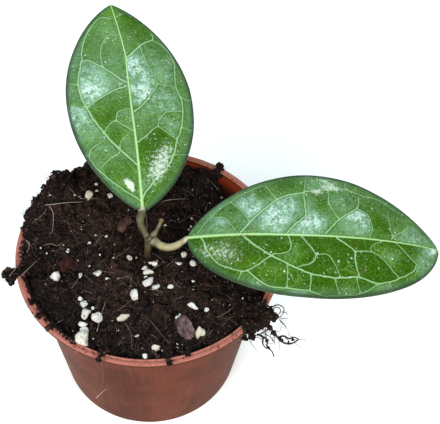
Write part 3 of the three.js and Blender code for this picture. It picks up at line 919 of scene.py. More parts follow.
@dataclass(frozen=True)
class LeafSkin:
    """Waxy leaf: deep green cells in a pale net of veins, with hard-water spots, greyer along the margin, with a
    painted sheen of reflected light, its paler veils and sparkles on some cells, and painted shade beside the
    veins.
    """

    deep: Colour = (0.020, 0.075, 0.0005)
    green: Colour = (0.046, 0.138, 0.002)
    light: Colour = (0.13, 0.29, 0.018)
    lush: Colour = (0.125, 0.28, 0.03)
    # painted sheen: a broad paler veil of reflected light
    sheen_haze: Colour = (0.128, 0.26, 0.098)
    # painted sheen: reflected window light painted into the colour
    painted_sheen: Colour = (0.29, 0.51, 0.39)
    # painted sparkles of reflected light
    sheen_sparkle: Colour = (0.60, 0.74, 0.67)
    vein: Colour = (0.30, 0.53, 0.25)
    net: Colour = (0.20, 0.42, 0.11)
    midrib: Colour = (0.41, 0.67, 0.28)
    border: Colour = (0.062, 0.140, 0.050)
    edge: Colour = (0.030, 0.052, 0.030)
    under: Colour = (0.19, 0.31, 0.11)
    fleck: Colour = (0.58, 0.70, 0.58)
    soil: Colour = (0.10, 0.055, 0.03)
    net_size: float = 5.2
    fine_net_size: float = 1.9
    bend_size: float = 4.0
    bend: float = 0.0022

    def material(self) -> bpy.types.Material:
        """Builds the finish.

        Returns:
            The material, which reads the values that a leaf stores and its flat coordinates.
        """
        g = Graph("leaf_skin", IOR=1.45, Specular_IOR_Level=0.06, Coat_IOR=1.45, Coat_Roughness=0.22)
        flat = g.make("ShaderNodeUVMap", {"uv_map": "flat"}).outputs["UV"]
        tissue = g.noise(0.9, 5.0, flat, 0.65)
        patch = g.noise(11.0, 3.0, flat)
        cloud = g.noise(4.5, 3.0, flat)
        # fine grain noise, which also textures the painted sheen
        dusty = g.noise(0.95, 4.0, flat, 0.8)
        dapple = g.noise(2.6, 5.0, flat, 0.75)
        # painted sheen of each cell; below 0 a deeper green instead
        painted_sheen = g.attribute("painted_sheen")
        colour = g.mix((patch * 0.6 + cloud * 0.4).between(0.38, 0.62), self.deep, self.green)
        colour = g.mix(painted_sheen.between(0.0, -0.8) * 0.9, colour, self.deep)
        lit = tissue.between(0.44, 0.66) * (0.3 + 0.5 * painted_sheen.between(-0.5, 0.4))
        colour = g.mix(lit, colour, self.light)
        colour = g.mix(tissue.between(0.47, 0.32) * 0.6, colour, self.deep)
        colour = g.mix(g.attribute("lush").at_most(1.0) * 0.8, colour, self.lush)
        border = g.attribute("border")
        colour = g.mix(border * 0.65, colour, self.border)
        # painted sheen: a grainy paler veil where the sheen is, weaker near the margin
        sheen_grain = 2.2 * (dapple - 0.5) + 3.6 * (dusty - 0.5)
        sheen_haze_share = (painted_sheen + 0.6 * (cloud - 0.5)).between(-0.4, 0.5) * (0.42 + sheen_grain)
        colour = g.mix(sheen_haze_share.at_least(0.0).at_most(0.8) * (1.0 - 0.45 * border), colour, self.sheen_haze)
        mottle = 0.5 * cloud.between(0.35, 0.65) + 2.6 * (dapple - 0.5) + 2.8 * (dusty - 0.5)
        # the painted sheen itself, mottled
        sheen_patch = painted_sheen.between(0.15, 1.0) * (0.5 + mottle)
        colour = g.mix(sheen_patch.at_least(0.0).at_most(1.0), colour, self.painted_sheen)
        # painted sparkles where the painted sheen is strongest
        crisp = 1.0 * (cloud - 0.5) + 2.2 * (dapple - 0.5) + 2.4 * (dusty - 0.5)
        colour = g.mix((painted_sheen + crisp).between(0.78, 1.25) * 0.9, colour, self.sheen_sparkle)
        # painted shade: darker beside the veins, where the cells dip
        vein_flank_shade = g.attribute("vein").between(4.0, 2.2) * (0.2 + 0.5 * dapple)
        colour = g.mix(vein_flank_shade * (1.0 - border), colour, self.deep)
        bent = self._bent(g, flat)
        net, fine_net = (
            Value(g, g.cells(size, "DISTANCE_TO_EDGE", bent).outputs["Distance"])
            for size in (self.net_size, self.fine_net_size)
        )
        mesh_lines = net.between(0.055, 0.02) * patch.between(0.4, 0.65) * 0.32
        mesh_lines = mesh_lines.at_least(fine_net.between(0.08, 0.02) * 0.09)
        colour = g.mix(mesh_lines, colour, self.net)
        vein = g.attribute("across").math("ABSOLUTE").between(1.7, 0.5)
        vein = vein * g.attribute("vein").between(3.0, 1.8)
        pale = (0.2 + 0.55 * g.attribute("bold") + 0.4 * cloud).at_most(1.0)
        colour = g.mix(vein * pale, colour, self.vein)
        midrib = g.attribute("midrib").math("ABSOLUTE").between(1.6, 0.4)
        colour = g.mix(midrib, colour, self.midrib)
        residue = g.attribute("residue")
        flecks = g.specks(1.5, 0.30, flat).at_least(g.specks(0.75, 0.34, flat) * 0.8)
        crust = (g.noise(1.3, 5.0, flat, 0.8) + residue * 0.28).between(0.62, 0.86)
        crust = crust * residue.between(0.02, 0.2)
        sparse = g.noise(6.0, 2.0, flat).between(0.42, 0.62)
        spots = (flecks * (0.18 + 0.62 * sparse + residue)).at_most(1.0).at_least(crust)
        colour = g.mix(spots, colour, self.fleck)
        colour = g.mix(g.attribute("soiled") * g.noise(0.7, 3.0, flat).between(0.48, 0.6), colour, self.soil)
        colour = g.mix(g.attribute("rim").between(2.2, 0.35) * 0.85, colour, self.edge)
        underside = g.mix(vein * 0.6, g.mix(tissue.between(0.3, 0.7), self.under, self.light), self.vein)
        colour = g.mix(g.attribute("under"), colour, underside)
        shine = 0.01 + 0.27 * painted_sheen.between(-0.3, 0.6)
        g.set("Coat Weight", shine * (1.0 - spots) * (1.0 - g.attribute("under")))
        roughness = (0.34 + 0.12 * tissue + 0.25 * spots + g.attribute("under") * 0.2).at_most(0.9)
        return g.finished(colour, roughness, tissue * 0.5 + mesh_lines * 0.6 + spots * 0.4, (0.45, 0.12))

    def _bent(self, g: Graph, flat: Socket) -> Socket:
        """Shifts flat coordinates by noise, so that the net's lines waver.

        Args:
            g: the material's graph.
            flat: the coordinates.
        Returns:
            The shifted coordinates.
        """
        sockets = {"Vector": flat, "Scale": 1000.0 / self.bend_size, "Detail": 2.0}
        wave = g.make("ShaderNodeTexNoise", sockets=sockets).outputs["Color"]
        push = g.make("ShaderNodeVectorMath", {"operation": "SCALE"}, {0: wave, "Scale": self.bend})
        sockets = {0: flat, 1: push.outputs["Vector"]}
        return g.make("ShaderNodeVectorMath", {"operation": "ADD"}, sockets).outputs["Vector"]


# The pot


@dataclass
class Pot:
    """The moulded pot: a wall that flares at a shoulder, a grooved lip, and a foot with drainage holes."""

    rim_radius: float
    height: float
    base_radius: float = 39.4
    wall: float = 1.1
    floor: float = 2.2
    lip_thickness: float = 2.8
    lip_height: float = 1.8
    lip_rounds: tuple[float, float, float] = (0.25, 0.5, 0.45)
    groove_place: float = 0.36
    groove_depth: float = 0.26
    shoulder_below_rim: float = 7.5
    shoulder_radius: float = 46.9
    heel_radius: float = 2.0
    inner_heel_radius: float = 1.2
    foot_inner: float = 31.0
    foot_round: float = 0.3
    centre_disc: float = 14.0
    recess: float = 0.8
    hole_count: int = 8
    hole_radius: float = 3.6
    hole_circle: float = 23.0
    notch_count: int = 4
    notch_width: float = 6.0
    columns: int = 200

    @classmethod
    def from_frame(cls) -> Pot:
        """Takes the rim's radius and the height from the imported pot."""
        low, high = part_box("pot")
        return cls(rim_radius=(high.x - low.x) / 2 / MM, height=(high.z - low.z) / MM)

    def outer(self, z: np.ndarray | float) -> np.ndarray | float:
        """The wall's outer radius at a height: a straight line to the shoulder, and another to the lip."""
        top = self.rim_radius - (self.lip_thickness - self.wall)
        heights = (0.0, self.height - self.shoulder_below_rim, self.height - self.lip_height)
        return np.interp(z, heights, (self.base_radius, self.shoulder_radius, top))

    def inner(self, z: np.ndarray | float) -> np.ndarray | float:
        """The wall's inner radius at a height."""
        return self.outer(z) - self.wall

    @property
    def mouth(self) -> float:
        """The inner radius at the rim's height."""
        return self.inner(self.height)

    @staticmethod
    def _arc(r: float, z: float, radius: float, start: float, end: float, steps: int) -> list[Span]:
        """Points of an arc in the profile, with angles in degrees from straight outward."""
        angles = np.radians(np.linspace(start, end, steps))
        return [(r + radius * math.cos(a), z + radius * math.sin(a)) for a in angles]

    def _foot(self) -> list[Span]:
        """The profile from the flat middle of the underside over its recess and the foot ring to the heel.

        Returns:
            Radius and height of each point.
        """
        disc, ring, bevel, heel = self.centre_disc, self.foot_inner, self.foot_round, self.heel_radius
        points = [(disc * n / 6, 0.0) for n in range(1, 6)]
        points += self._arc(disc - bevel, bevel, bevel, -90, 0, 4)
        recess = (disc + 0.1, *np.linspace(disc + 0.6, ring - 0.6, 8), ring - 0.1)
        points += [(r, self.recess) for r in recess]
        points += self._arc(ring + bevel, bevel, bevel, 180, 270, 4)
        return points + self._arc(self.outer(heel) - heel, heel, heel, -90, -8, 9)

    def _lip(self) -> list[Span]:
        """The profile over the lip, which has a shallow groove in its top.

        Returns:
            Radius and height of each point.
        """
        top, under = self.height, self.height - self.lip_height
        below, outside, within = self.lip_rounds
        deep = self.groove_depth
        edge = self.rim_radius - below
        groove = self.rim_radius + (self.groove_place - 1.0) * self.lip_thickness
        points = [(self.outer(under) + 0.15, under - 0.1), (edge, under + 0.02)]
        points += self._arc(edge, under + below + 0.02, below, -70, 0, 4)
        points += self._arc(self.rim_radius - outside, top - outside, outside, 0, 80, 6)
        points += [(groove + deep, top), (groove + 0.1, top - deep)]
        points += [(groove - 0.1, top - deep), (groove - deep, top)]
        inner_edge = self.rim_radius - self.lip_thickness
        return points + self._arc(inner_edge + within, top - within, within, 100, 180, 6)

    def _profile(self) -> np.ndarray:
        """The section from the middle of the underside out, up the wall, over the lip and down inside.

        Returns:
            Radius and height of each point.
        """
        shoulder, under, bend = self.height - self.shoulder_below_rim, self.height - self.lip_height, 1.0
        points = self._foot()
        points += [(self.outer(z), z) for z in np.linspace(self.heel_radius + 1.5, shoulder - bend, 34)]
        points += [(self.outer(shoulder) + 0.12, shoulder)]
        points += [(self.outer(z), z) for z in np.linspace(shoulder + bend, under - 0.5, 6)]
        points += self._lip()
        inside = (self.height - 1.2, under, *np.linspace(under - bend, shoulder + bend, 4), shoulder)
        points += [(self.inner(z), z) for z in inside]
        points += [(self.inner(z), z) for z in np.linspace(shoulder - bend, self.floor + 1.6, 26)]
        heel = self.inner_heel_radius
        points += self._arc(self.inner(self.floor) - heel, self.floor + heel, heel, 0, -90, 6)
        points += [(r, self.floor) for r in np.linspace(self.inner(self.floor) - 3, 4.0, 8)]
        return np.array(points)

    def _swept(self) -> Shape:
        """The profile turned about Z, with a pole in the middle of each floor.

        Returns:
            The pot's skin, without its holes and notches.
        """
        profile = self._profile()
        rings = around(profile[:, :1], full_turn(self.columns), profile[:, 1:]).reshape(-1, 3)
        points = np.concatenate([[[0, 0, 0.0]], rings, [[0, 0, self.floor]]])
        return Shape(points, capped_rings(len(profile), self.columns))

    def _cutters(self) -> Shape:
        """Round plugs for the drainage holes and flat bars for the notches in the foot ring.

        Returns:
            All cutters in one shape.
        """
        angle = 2 * math.pi * (np.arange(self.hole_count) + 0.5) / self.hole_count
        through = np.array([-2.0, 2 * self.floor])[:, None] * [0, 0, 1.0]
        paths = around(self.hole_circle, angle, 0.0)[:, None] + through
        plugs = tubes(paths, np.full((self.hole_count, 2), self.hole_radius), 32, (1.0, 0, 0))
        out = around(1.0, full_turn(self.notch_count), 0.0)
        reach = np.array([self.foot_inner - 2.0, self.base_radius + 4.0])
        half_diagonal = np.full((self.notch_count, 2), self.notch_width / math.sqrt(2))
        upright = np.array([0, 0, 1.0])
        bars = tubes(reach[None, :, None] * out[:, None], half_diagonal, 4, upright + np.cross(upright, out))
        middle = np.abs(bars.points[:, 2]) > 1e-6
        bars.points[middle, 2] = np.sign(bars.points[middle, 2]) * self.recess
        return Shape.joined([plugs, bars])

    def build(self, finish: PotPlastic) -> bpy.types.Object:
        """Makes the pot.

        Args:
            finish: its plastic.
        Returns:
            The piece.
        """
        shell, cutter = linked("pot_shell", self._swept()), linked("drain_cutter", self._cutters())
        cut = shell.modifiers.new("drainage", "BOOLEAN")
        cut.operation, cut.solver, cut.object = "DIFFERENCE", "MANIFOLD", cutter
        apply_modifiers(shell)
        bpy.data.objects.remove(cutter)
        x, y, z = vertex_data(shell.data.vertices, "co").T / MM
        radius = np.hypot(x, y)
        inside = (radius < self.outer(z) - self.wall / 2) & (z > self.floor - 0.1) & (z < self.height - 0.8)
        # the lip's top, which the finish paints with a highlight
        lip = smooth_step(z, self.height - 0.6, self.height - 0.12)
        store_value(shell.data, "inside", inside.astype(float))
        store_value(shell.data, "lip", lip * (radius > self.inner(z) + 0.05))
        return dressed(shell, finish.material(), "pot")


# The potting mix


@dataclass(frozen=True)
class Heap:
    """A broad place where the mix stands above or below its plain dome, or a patch of browner mix."""

    x: float
    y: float
    rise: float
    spread: float

    def bell(self, x: np.ndarray, y: np.ndarray) -> np.ndarray:
        """Its rise at some places: rise times exp(-d^2 / 2 spread^2) at a distance d."""
        return self.rise * np.exp(-((x - self.x) ** 2 + (y - self.y) ** 2) / (2 * self.spread**2))


@dataclass
class PottingMixFill:
    """The fill of the pot: a heaped, crumbly surface over a plain side that follows the pot's inner wall."""

    pot: Pot
    crown: float = 2.0
    edge_drop: float = 2.2
    swells: tuple[Row, ...] = ((8.0, 1.3, 0.0), (3.6, 0.8, 7.0))
    crumbs: tuple[Row, ...] = ((5.2, 1.5, 11.0), (2.3, 0.8, 23.0), (1.1, 0.45, 37.0))
    crack: float = 0.16
    clearance: float = 0.39
    cells: int = 284
    heaps: tuple[Heap, ...] = table(
        Heap, (-38, 27, 8, 10), (-45, 8, 3, 8), (46, 14, -9, 13), (41, 30, -6, 7), (47, -10, -4, 9),
        (34, -29, 3, 9), (-33, -9, 1.5, 6), (-6, 24, 1.5, 12), (-45, -18, 1.3, 6),
    )
    peaty: tuple[Heap, ...] = table(
        Heap, (-21, 10, 1, 9), (-13, -17, 1, 8), (-27, 28, 0.8, 8), (14, -24, 0.5, 10),
    )

    def height(self, x: np.ndarray, y: np.ndarray) -> np.ndarray:
        """Height of the plain surface: a dome, plus heaps that fall off as bells, plus two sizes of lumps.

        Args:
            x: places along X.
            y: places along Y.
        Returns:
            Height above the pot's underside at each place.
        """
        reach = np.minimum(1.0, np.hypot(x, y) / self.pot.mouth)
        z = self.pot.height + self.crown - (self.crown + self.edge_drop) * reach**2.5
        for heap in self.heaps:
            z = z + heap.bell(x, y)
        for size, rise, layer in self.swells:
            z = z + rise * lumps(level_points(x / size, y / size, layer))
        return z

    def _crumbliness(self, x: np.ndarray, y: np.ndarray) -> tuple[np.ndarray, np.ndarray]:
        """Relief of crumbs of three sizes, each a low dome about a strewn seed, with cracks between them.

        Args:
            x: places along X.
            y: places along Y.
        Returns:
            Relief in millimetres, and painted shade for its hollows, from 0 to 1.
        """
        warp = 1.2 * rough(level_points(x / 3.0, y / 3.0, 3.0), 2)
        places = level_points(x + warp, y - warp)
        relief = np.zeros_like(x)
        for size, depth, layer in self.crumbs:
            nearest, second = grain_distances(places / size + layer)
            crack = np.exp(-(((second - nearest) / self.crack) ** 2))
            relief = relief + depth * (0.6 * (1.0 - nearest**2 * 1.6) - 0.5 * crack)
        relief = relief + rough(level_points(x / 2.0, y / 2.0, 5.0), 3)
        return relief - 0.6, smooth_step(-relief, -0.5, 1.0)

    def _surface(self) -> tuple[Points, np.ndarray, int]:
        """The top of the mix, on a square grid that is bent into a disc.

        A square's (u, v) goes to (u sqrt(1 - v^2 / 2), v sqrt(1 - u^2 / 2)).

        Returns:
            Places, painted shade of the hollows, and the number of points along a side.
        """
        side = self.cells + 1
        u, v = np.meshgrid(np.linspace(-1, 1, side), np.linspace(-1, 1, side))
        edge = self.pot.mouth - self.clearance
        x, y = edge * u * np.sqrt(1 - v * v / 2), edge * v * np.sqrt(1 - u * u / 2)
        inward = smooth_step(edge - np.hypot(x, y), 0.0, 1.5)
        relief, hollow_shade = self._crumbliness(x, y)
        z = self.height(x, y) + relief * blend(0.5, 1.0, inward)
        push_x, push_y = (0.5 * inward * rough(level_points(x, y, layer), 2) for layer in (50.0, 59.0))
        limit = self.pot.inner(np.minimum(z, self.pot.height)) - self.clearance
        shrink = np.minimum(1.0, limit / np.maximum(np.hypot(x, y), 1e-6))
        points = np.stack([x * shrink + push_x, y * shrink + push_y, z], -1)
        return points.reshape(-1, 3), hollow_shade.ravel(), side

    def _body(self) -> Shape:
        """The surface closed below by a side along the wall and a flat foot.

        Returns:
            The fill's skin.
        """
        top, hollow_shade, side = self._surface()
        index = np.arange(side * side).reshape(side, side)
        border = np.concatenate([index[0, :-1], index[:-1, -1], index[-1, :0:-1], index[:0:-1, 0]])
        edge = top[border]
        out = unit(edge[:, :2])
        bottom = self.pot.floor + self.clearance
        under = np.minimum(edge[:, 2] - 1.0, self.pot.height - self.pot.shoulder_below_rim)
        rings = []
        for z, inset in ((bottom + 0 * under, 1.2), (bottom + 1.0 + 0 * under, 0.0), (under, 0.0)):
            radius = self.pot.inner(z) - self.clearance - inset
            rings.append(np.concatenate([out * radius[:, None], z[:, None]], 1))
        count = len(border)
        below = np.concatenate([[[0, 0, bottom]], *rings])
        numbers = len(top) + 1 + np.arange(3 * count).reshape(3, count)
        walls = ring_walls(np.concatenate([numbers, border[None]]))
        foot = np.stack([np.full(count, len(top)), np.roll(numbers[0], -1), numbers[0]], -1)
        faces = np.concatenate([grid_triangles(side, side, flipped=True), walls, foot])
        # painted shade: the hollows of the top, and 0.6 on the side and foot along the pot
        deep = np.concatenate([hollow_shade, np.full(len(below), 0.6)])
        points = np.concatenate([top, below])
        peaty = sum(patch.bell(points[:, 0], points[:, 1]) for patch in self.peaty)
        return Shape(points, faces, {"hollow_shade": deep, "own": 0 * deep, "peaty": peaty})

    def build(self, material: bpy.types.Material) -> bpy.types.Object:
        """Makes the fill."""
        return dressed(linked("potting_mix", self._body()), material, node="soil")


@dataclass(frozen=True)
class Spill:
    """A clod of mix that lies on the rim or hangs over it, placed by its height above the rim."""

    x: float
    y: float
    rise: float
    radius: float


def mostly_small(draw: Draws, count: int, least: float, reach: float, power: float) -> np.ndarray:
    """Random sizes that crowd near the least one: least + reach r^power."""
    return least + reach * draw.random(count) ** power


def crumbs(
    draw: Draws, places: Points, size: np.ndarray, stretch: Span, grid: tuple[int, int], dents: float, blank: str
) -> Shape:
    """Dented crumbs, each stretched at random and turned any way.

    Args:
        draw: source of the random draws.
        places: middle of each.
        size: size of each.
        stretch: least and largest stretch along each of its axes.
        grid: rings of a crumb, and points in a ring.
        dents: depth of the dents, as a share of the radius.
        blank: name of a value that is 0 all over them.
    Returns:
        All of them in one shape.
    """
    sizes = size[:, None] * draw.uniform(*stretch, (len(places), 3))
    shape = strewn_balls(places, sizes, random_turns(draw, len(places)), grid, dents)
    shape.values[blank] = 0 * shape.values["own"]
    return shape


@dataclass
class Clods:
    """Clods on and over the rim, and the loose crumbs that cover them and the mix.

    A row of sizes is what mostly_small takes: the least, the reach above it and the power. Dirt has one row for
    the lip, one for the wall and one for the bank.
    """

    fill: PottingMixFill
    seed: int = 5
    crumb_count: int = 4300
    rim_dirt_count: int = 300
    wall_dirt_count: int = 70
    wall_dirt_angles: Span = (-150, -20)
    banked_count: int = 900
    banked_angles: Span = (118, 238)
    crumb_grid: tuple[int, int] = (3, 6)
    crumb_dents: float = 0.5
    crumb_sizes: Row = (0.55, 1.9, 4)
    crumb_stretch: Span = (0.55, 1.25)
    dirt_sizes: tuple[Row, ...] = ((0.2, 0.75, 2), (0.2, 0.55, 2), (0.4, 1.1, 3))
    dirt_stretch: Span = (0.6, 1.2)
    clod_dents: float = 0.28
    spills: tuple[Spill, ...] = table(
        Spill,
        (-40.5, -4, 1, 4), (-44.8, -7.4, 1.4, 3.8), (-49, -10.8, 1.2, 2.4), (-52.6, -11.6, 0.2, 2.3),
        (-55, -11.2, 0, 1.9), (-53.2, -13.4, -0.9, 1.7), (35, -31, 1.2, 4.6), (40.2, -30.4, 1.2, 3.8),
        (43.6, -32.8, 0.4, 2.8), (36.6, -37.2, -0.2, 3.5), (46.2, -33.6, -0.6, 1.7), (37.2, -41, -2, 1.4),
        (34.4, -41.8, -1.6, 1), (41.2, -35.4, -0.4, 3), (44.2, -37.4, -1.8, 1.1), (46, -39.2, -3.4, 0.9),
        (48.4, -41.2, -5, 0.6), (51.2, -42.2, -5.7, 0.7), (53, -40.8, -5.7, 0.6), (42.8, -42, -3.4, 0.7),
        (43.6, -44.4, -5, 0.5), (-46.6, 10, 0.5, 3.9), (-45.6, 16, 1.3, 4.1), (-43.6, 20.8, 2.4, 4.3),
        (-40, 26, 4, 4), (-37.6, 30.4, 8.2, 2.9), (-34.2, 31.4, 5, 3.8), (-28.6, 36.2, 1.4, 4),
        (-24.6, 39.6, 0.6, 3.6), (-17.6, -46, 0.2, 1.9), (-19.2, -49.4, 0.5, 1.1), (5.4, -48, 0, 2),
        (6.2, -51.8, 0.1, 1.3), (13, -48.4, 0.2, 1.1), (-44.4, -24.2, 0.2, 1.4), (-41.4, -30.2, 0.2, 1.3),
        (-37, -35.2, 0, 1.2), (28.6, 38.6, -1.4, 3), (31, 41.6, 0.2, 1.8),
    )

    def _centres(self) -> tuple[Points, np.ndarray]:
        """Middle and radius of each clod."""
        rows = np.array([(s.x, s.y, self.fill.pot.height + s.rise, s.radius) for s in self.spills])
        return rows[:, :3], rows[:, 3]

    def _clods(self) -> Shape:
        """The clods as dented balls with crumbs standing out of them.

        Returns:
            All clods in one shape.
        """
        direction, faces = ball(26, 38)
        shapes = []
        for number, (middle, radius) in enumerate(zip(*self._centres())):
            half = 0.5 * direction
            half = half * (1 + self.clod_dents * lumps(3 * half + np.array([number, 0, 0])))[:, None]
            local = half * radius * np.array([2, 2, 1.8])
            turn = turn_matrix("Z", 40 * number) @ turn_matrix("X", math.degrees(0.3 * number))
            nearest, second = grain_distances(local / 1.7 + 5 * number)
            bumps = 0.7 * (0.45 - nearest) - 0.35 * np.exp(-(((second - nearest) / 0.2) ** 2))
            relief = min(1.0, radius / 2.6) * (bumps + 0.75 * rough(local / 1.1 + number, 3))
            local = local + direction * relief[:, None]
            # painted shade in the clod's cracks and hollows
            hollow_shade = smooth_step(-bumps, -0.1, 0.5)
            shapes.append(Shape(local @ turn.T + middle, faces, {"hollow_shade": hollow_shade, "own": 0 * hollow_shade}))
        return Shape.joined(shapes)

    def surface_spots(self, draw: Draws, count: int, on_clods: float) -> Points:
        """Places strewn over the mix and the clods, three in four of those on a clod in its upper half.

        Args:
            draw: source of the random draws.
            count: number of places.
            on_clods: share of them that lie on clods.
        Returns:
            The places.
        """
        many = int(count * on_clods)
        radius = (self.fill.pot.mouth - 1.5) * np.sqrt(draw.random(count - many))
        bed = around(radius, draw.random(count - many) * 2 * math.pi, 0.0)
        bed[:, 2] = self.fill.height(bed[:, 0], bed[:, 1])
        centres, radii = self._centres()
        chosen = draw.choice(len(radii), many, p=radii**2 / np.sum(radii**2))
        away = unit(draw.normal(size=(many, 3)))
        away[:, 2] = np.abs(away[:, 2]) * np.where(draw.random(many) < 0.75, 1, -1)
        return np.concatenate([bed, centres[chosen] + away * radii[chosen, None]])

    def _crumbs(self) -> Shape:
        """Loose crumbs of half a millimetre to three, most of them small.

        Returns:
            All crumbs in one shape.
        """
        draw = np.random.default_rng(self.seed)
        places = self.surface_spots(draw, self.crumb_count, 0.3)
        size = mostly_small(draw, len(places), *self.crumb_sizes)
        places[:, 2] += 0.25 * size
        return crumbs(draw, places, size, self.crumb_stretch, self.crumb_grid, self.crumb_dents, "hollow_shade")

    def _rim_dirt(self) -> Shape:
        """Tiny crumbs along the lip, stuck to the wall below it, and banked inside the lip on the left.

        Returns:
            All of them in one shape.
        """
        draw = np.random.default_rng(self.seed + 1)
        pot = self.fill.pot
        angle = draw.random(self.rim_dirt_count) * 2 * math.pi
        crowd = smooth_step(lumps(around(6, angle, 0.0)), -0.2, 0.6)
        angle = angle[draw.random(len(angle)) < 0.2 + 0.8 * crowd]
        radius = pot.rim_radius - pot.lip_thickness * draw.random(len(angle)) * 1.15
        lit_lip_top = around(radius, angle, pot.height + 0.1)
        angle = np.radians(draw.uniform(*self.wall_dirt_angles, self.wall_dirt_count))
        z = pot.height - 4 - mostly_small(draw, self.wall_dirt_count, 0, 60, 1.6)
        on_wall = around(pot.outer(z), angle, z)
        angle = np.radians(draw.uniform(*self.banked_angles, self.banked_count))
        reach = mostly_small(draw, self.banked_count, 0, 1.6, 1.6)
        reach = reach * (0.75 + 0.5 * lumps(level_points(9 * angle, 0 * angle)))
        banked = around(pot.rim_radius - pot.lip_thickness - 0.3 + reach, angle, pot.height + 0.15)
        groups = (lit_lip_top, on_wall, banked)
        size = [mostly_small(draw, len(group), *sizes) for group, sizes in zip(groups, self.dirt_sizes)]
        places, size = np.concatenate(groups), np.concatenate(size)
        return crumbs(draw, places, size, self.dirt_stretch, self.crumb_grid, self.crumb_dents, "hollow_shade")

    def build(self, material: bpy.types.Material) -> None:
        """Makes the clods, the crumbs and the dirt on the rim."""
        dressed(linked("rim_clods", self._clods()), material)
        dressed(linked("loose_crumbs", self._crumbs()), material)
        dressed(linked("rim_dirt", self._rim_dirt()), material)


# Perlite


@dataclass(frozen=True)
class Grain:
    """A perlite grain, with its length, width and turn in degrees."""

    x: float
    y: float
    length: float
    width: float
    turn: float = 0.0
    stained: bool = False


@dataclass
class PerliteGrains:
    """The white grains on the mix: the larger ones where they lie, and small ones strewn by seeded draws."""

    fill: PottingMixFill
    seed: int = 11
    speck_count: int = 130
    speck_sizes: Row = (0.4, 0.9, 3)
    speck_stretch: Span = (0.7, 1.2)
    speck_grid: tuple[int, int] = (4, 7)
    stray_count: int = 16
    sunk: float = 0.22
    cut: Cut = Cut(6, 0.42, 0.85, 14.0)
    grains: tuple[Grain, ...] = table(
        Grain,
        (-36.3, -14.8, 4.2, 4.8, 20), (-20.3, -13.3, 3.4, 3), (-26.7, -13.7, 1.6, 2.6),
        (-0.5, -13.9, 5.6, 2.8, 4), (1, -9.9, 3.8, 2.8, -15), (-2.2, -11.5, 2.6, 1.8, 30),
        (-1.2, -18.4, 6, 3.4, 35), (1.6, -20.4, 4, 2.6, 25), (-8.1, -6.5, 2.4, 3.2), (-6, -23.8, 4.6, 4.8),
        (-24.7, -26.4, 3.8, 3.6, 15), (-24.2, -30.7, 4.2, 4.2), (-20, -31.6, 4.6, 4.8, 40),
        (-10.4, -31.8, 5.2, 3.2, 30, True), (-25.1, -34.5, 3.4, 2.8), (-24.3, -37.1, 3.6, 3.2),
        (-24.8, -41.6, 6.6, 6.6, 10), (15.6, -29.4, 4.8, 2.6, -25), (20.5, -31.5, 2.2, 1.8),
        (17.5, -39.6, 4.4, 6, 10, True), (10, -33.2, 2.6, 2.4), (1.3, -45, 3.4, 3.2),
        (-2.6, -47.9, 2.8, 2.6), (10.9, -10.2, 3.8, 2.2, -20), (13, -6.7, 2.8, 2.8),
        (16.5, -10.9, 2.8, 3.2), (7.5, -20.2, 2.6, 2), (-26.4, -23.5, 2, 1.8), (-32, -2.2, 1.6, 2),
        (-24.4, 23.8, 3.4, 4.4, 0, True), (-15.6, 24.5, 3.8, 2.6), (-21.9, -27.9, 1.6, 1.4),
        (-23.7, 0.5, 1.8, 1.6), (-21.7, 32.2, 1.8, 1.5), (-21.5, 27.4, 1.6, 1.4),
    )

    def _strays(self) -> list[Grain]:
        """Small grains strewn over the mix: each draw is 1664525 times the last plus 1013904223, below 2^32.

        Returns:
            The grains.
        """
        state, numbers = self.seed, []
        for _ in range(5 * self.stray_count):
            state = (state * 1664525 + 1013904223) % 2**32
            numbers.append(state / 2**32)
        strays = []
        for a, b, c, d, _ in np.reshape(numbers, (-1, 5)).tolist():
            x, y, _ = around((self.fill.pot.mouth - 5) * math.sqrt(a), 2 * math.pi * b, 0.0)
            size = 1.0 + 0.7 * c
            strays.append(Grain(x, y, size, 0.8 * size, 360 * d))
        return strays

    def _large(self) -> Shape:
        """The larger grains as puffed balls, with stains on the yellowish ones.

        Returns:
            All of them in one shape.
        """
        grains = [*self.grains, *self._strays()]
        rows = np.array([(g.x, g.y, g.length, g.width, g.turn, g.stained) for g in grains], float)
        x, y, length, width, turn, stained = rows.T
        tall = 0.8 * np.minimum(length, width)
        places = np.stack([x, y, self.fill.height(x, y) + self.sunk * tall + 0.35], -1)
        turns = np.stack([turn_matrix("Z", t) @ turn_matrix("X", 40 * math.sin(7 * t)) for t in turn])
        shape = strewn_balls(places, np.stack([length, width, tall], -1), turns, (22, 30), 0.2, self.cut)
        shape.values["stained"] = np.repeat(stained, len(shape.points) // len(grains))
        return shape

    def _specks(self, clods: Clods) -> Shape:
        """Crumbs of perlite, most of them under a millimetre.

        Args:
            clods: what they lie on.
        Returns:
            All of them in one shape.
        """
        draw = np.random.default_rng(self.seed)
        places = clods.surface_spots(draw, self.speck_count, 0.08)
        size = mostly_small(draw, len(places), *self.speck_sizes)
        places[:, 2] += 0.45
        return crumbs(draw, places, size, self.speck_stretch, self.speck_grid, 0.3, "stained")

    def build(self, clods: Clods, finish: Perlite) -> None:
        """Makes the grains and the specks.

        Args:
            clods: what the specks lie on, beside the mix.
            finish: their look.
        """
        material = finish.material()
        dressed(linked("perlite_grains", self._large()), material)
        dressed(linked("perlite_specks", self._specks(clods)), material)


# Bark chips


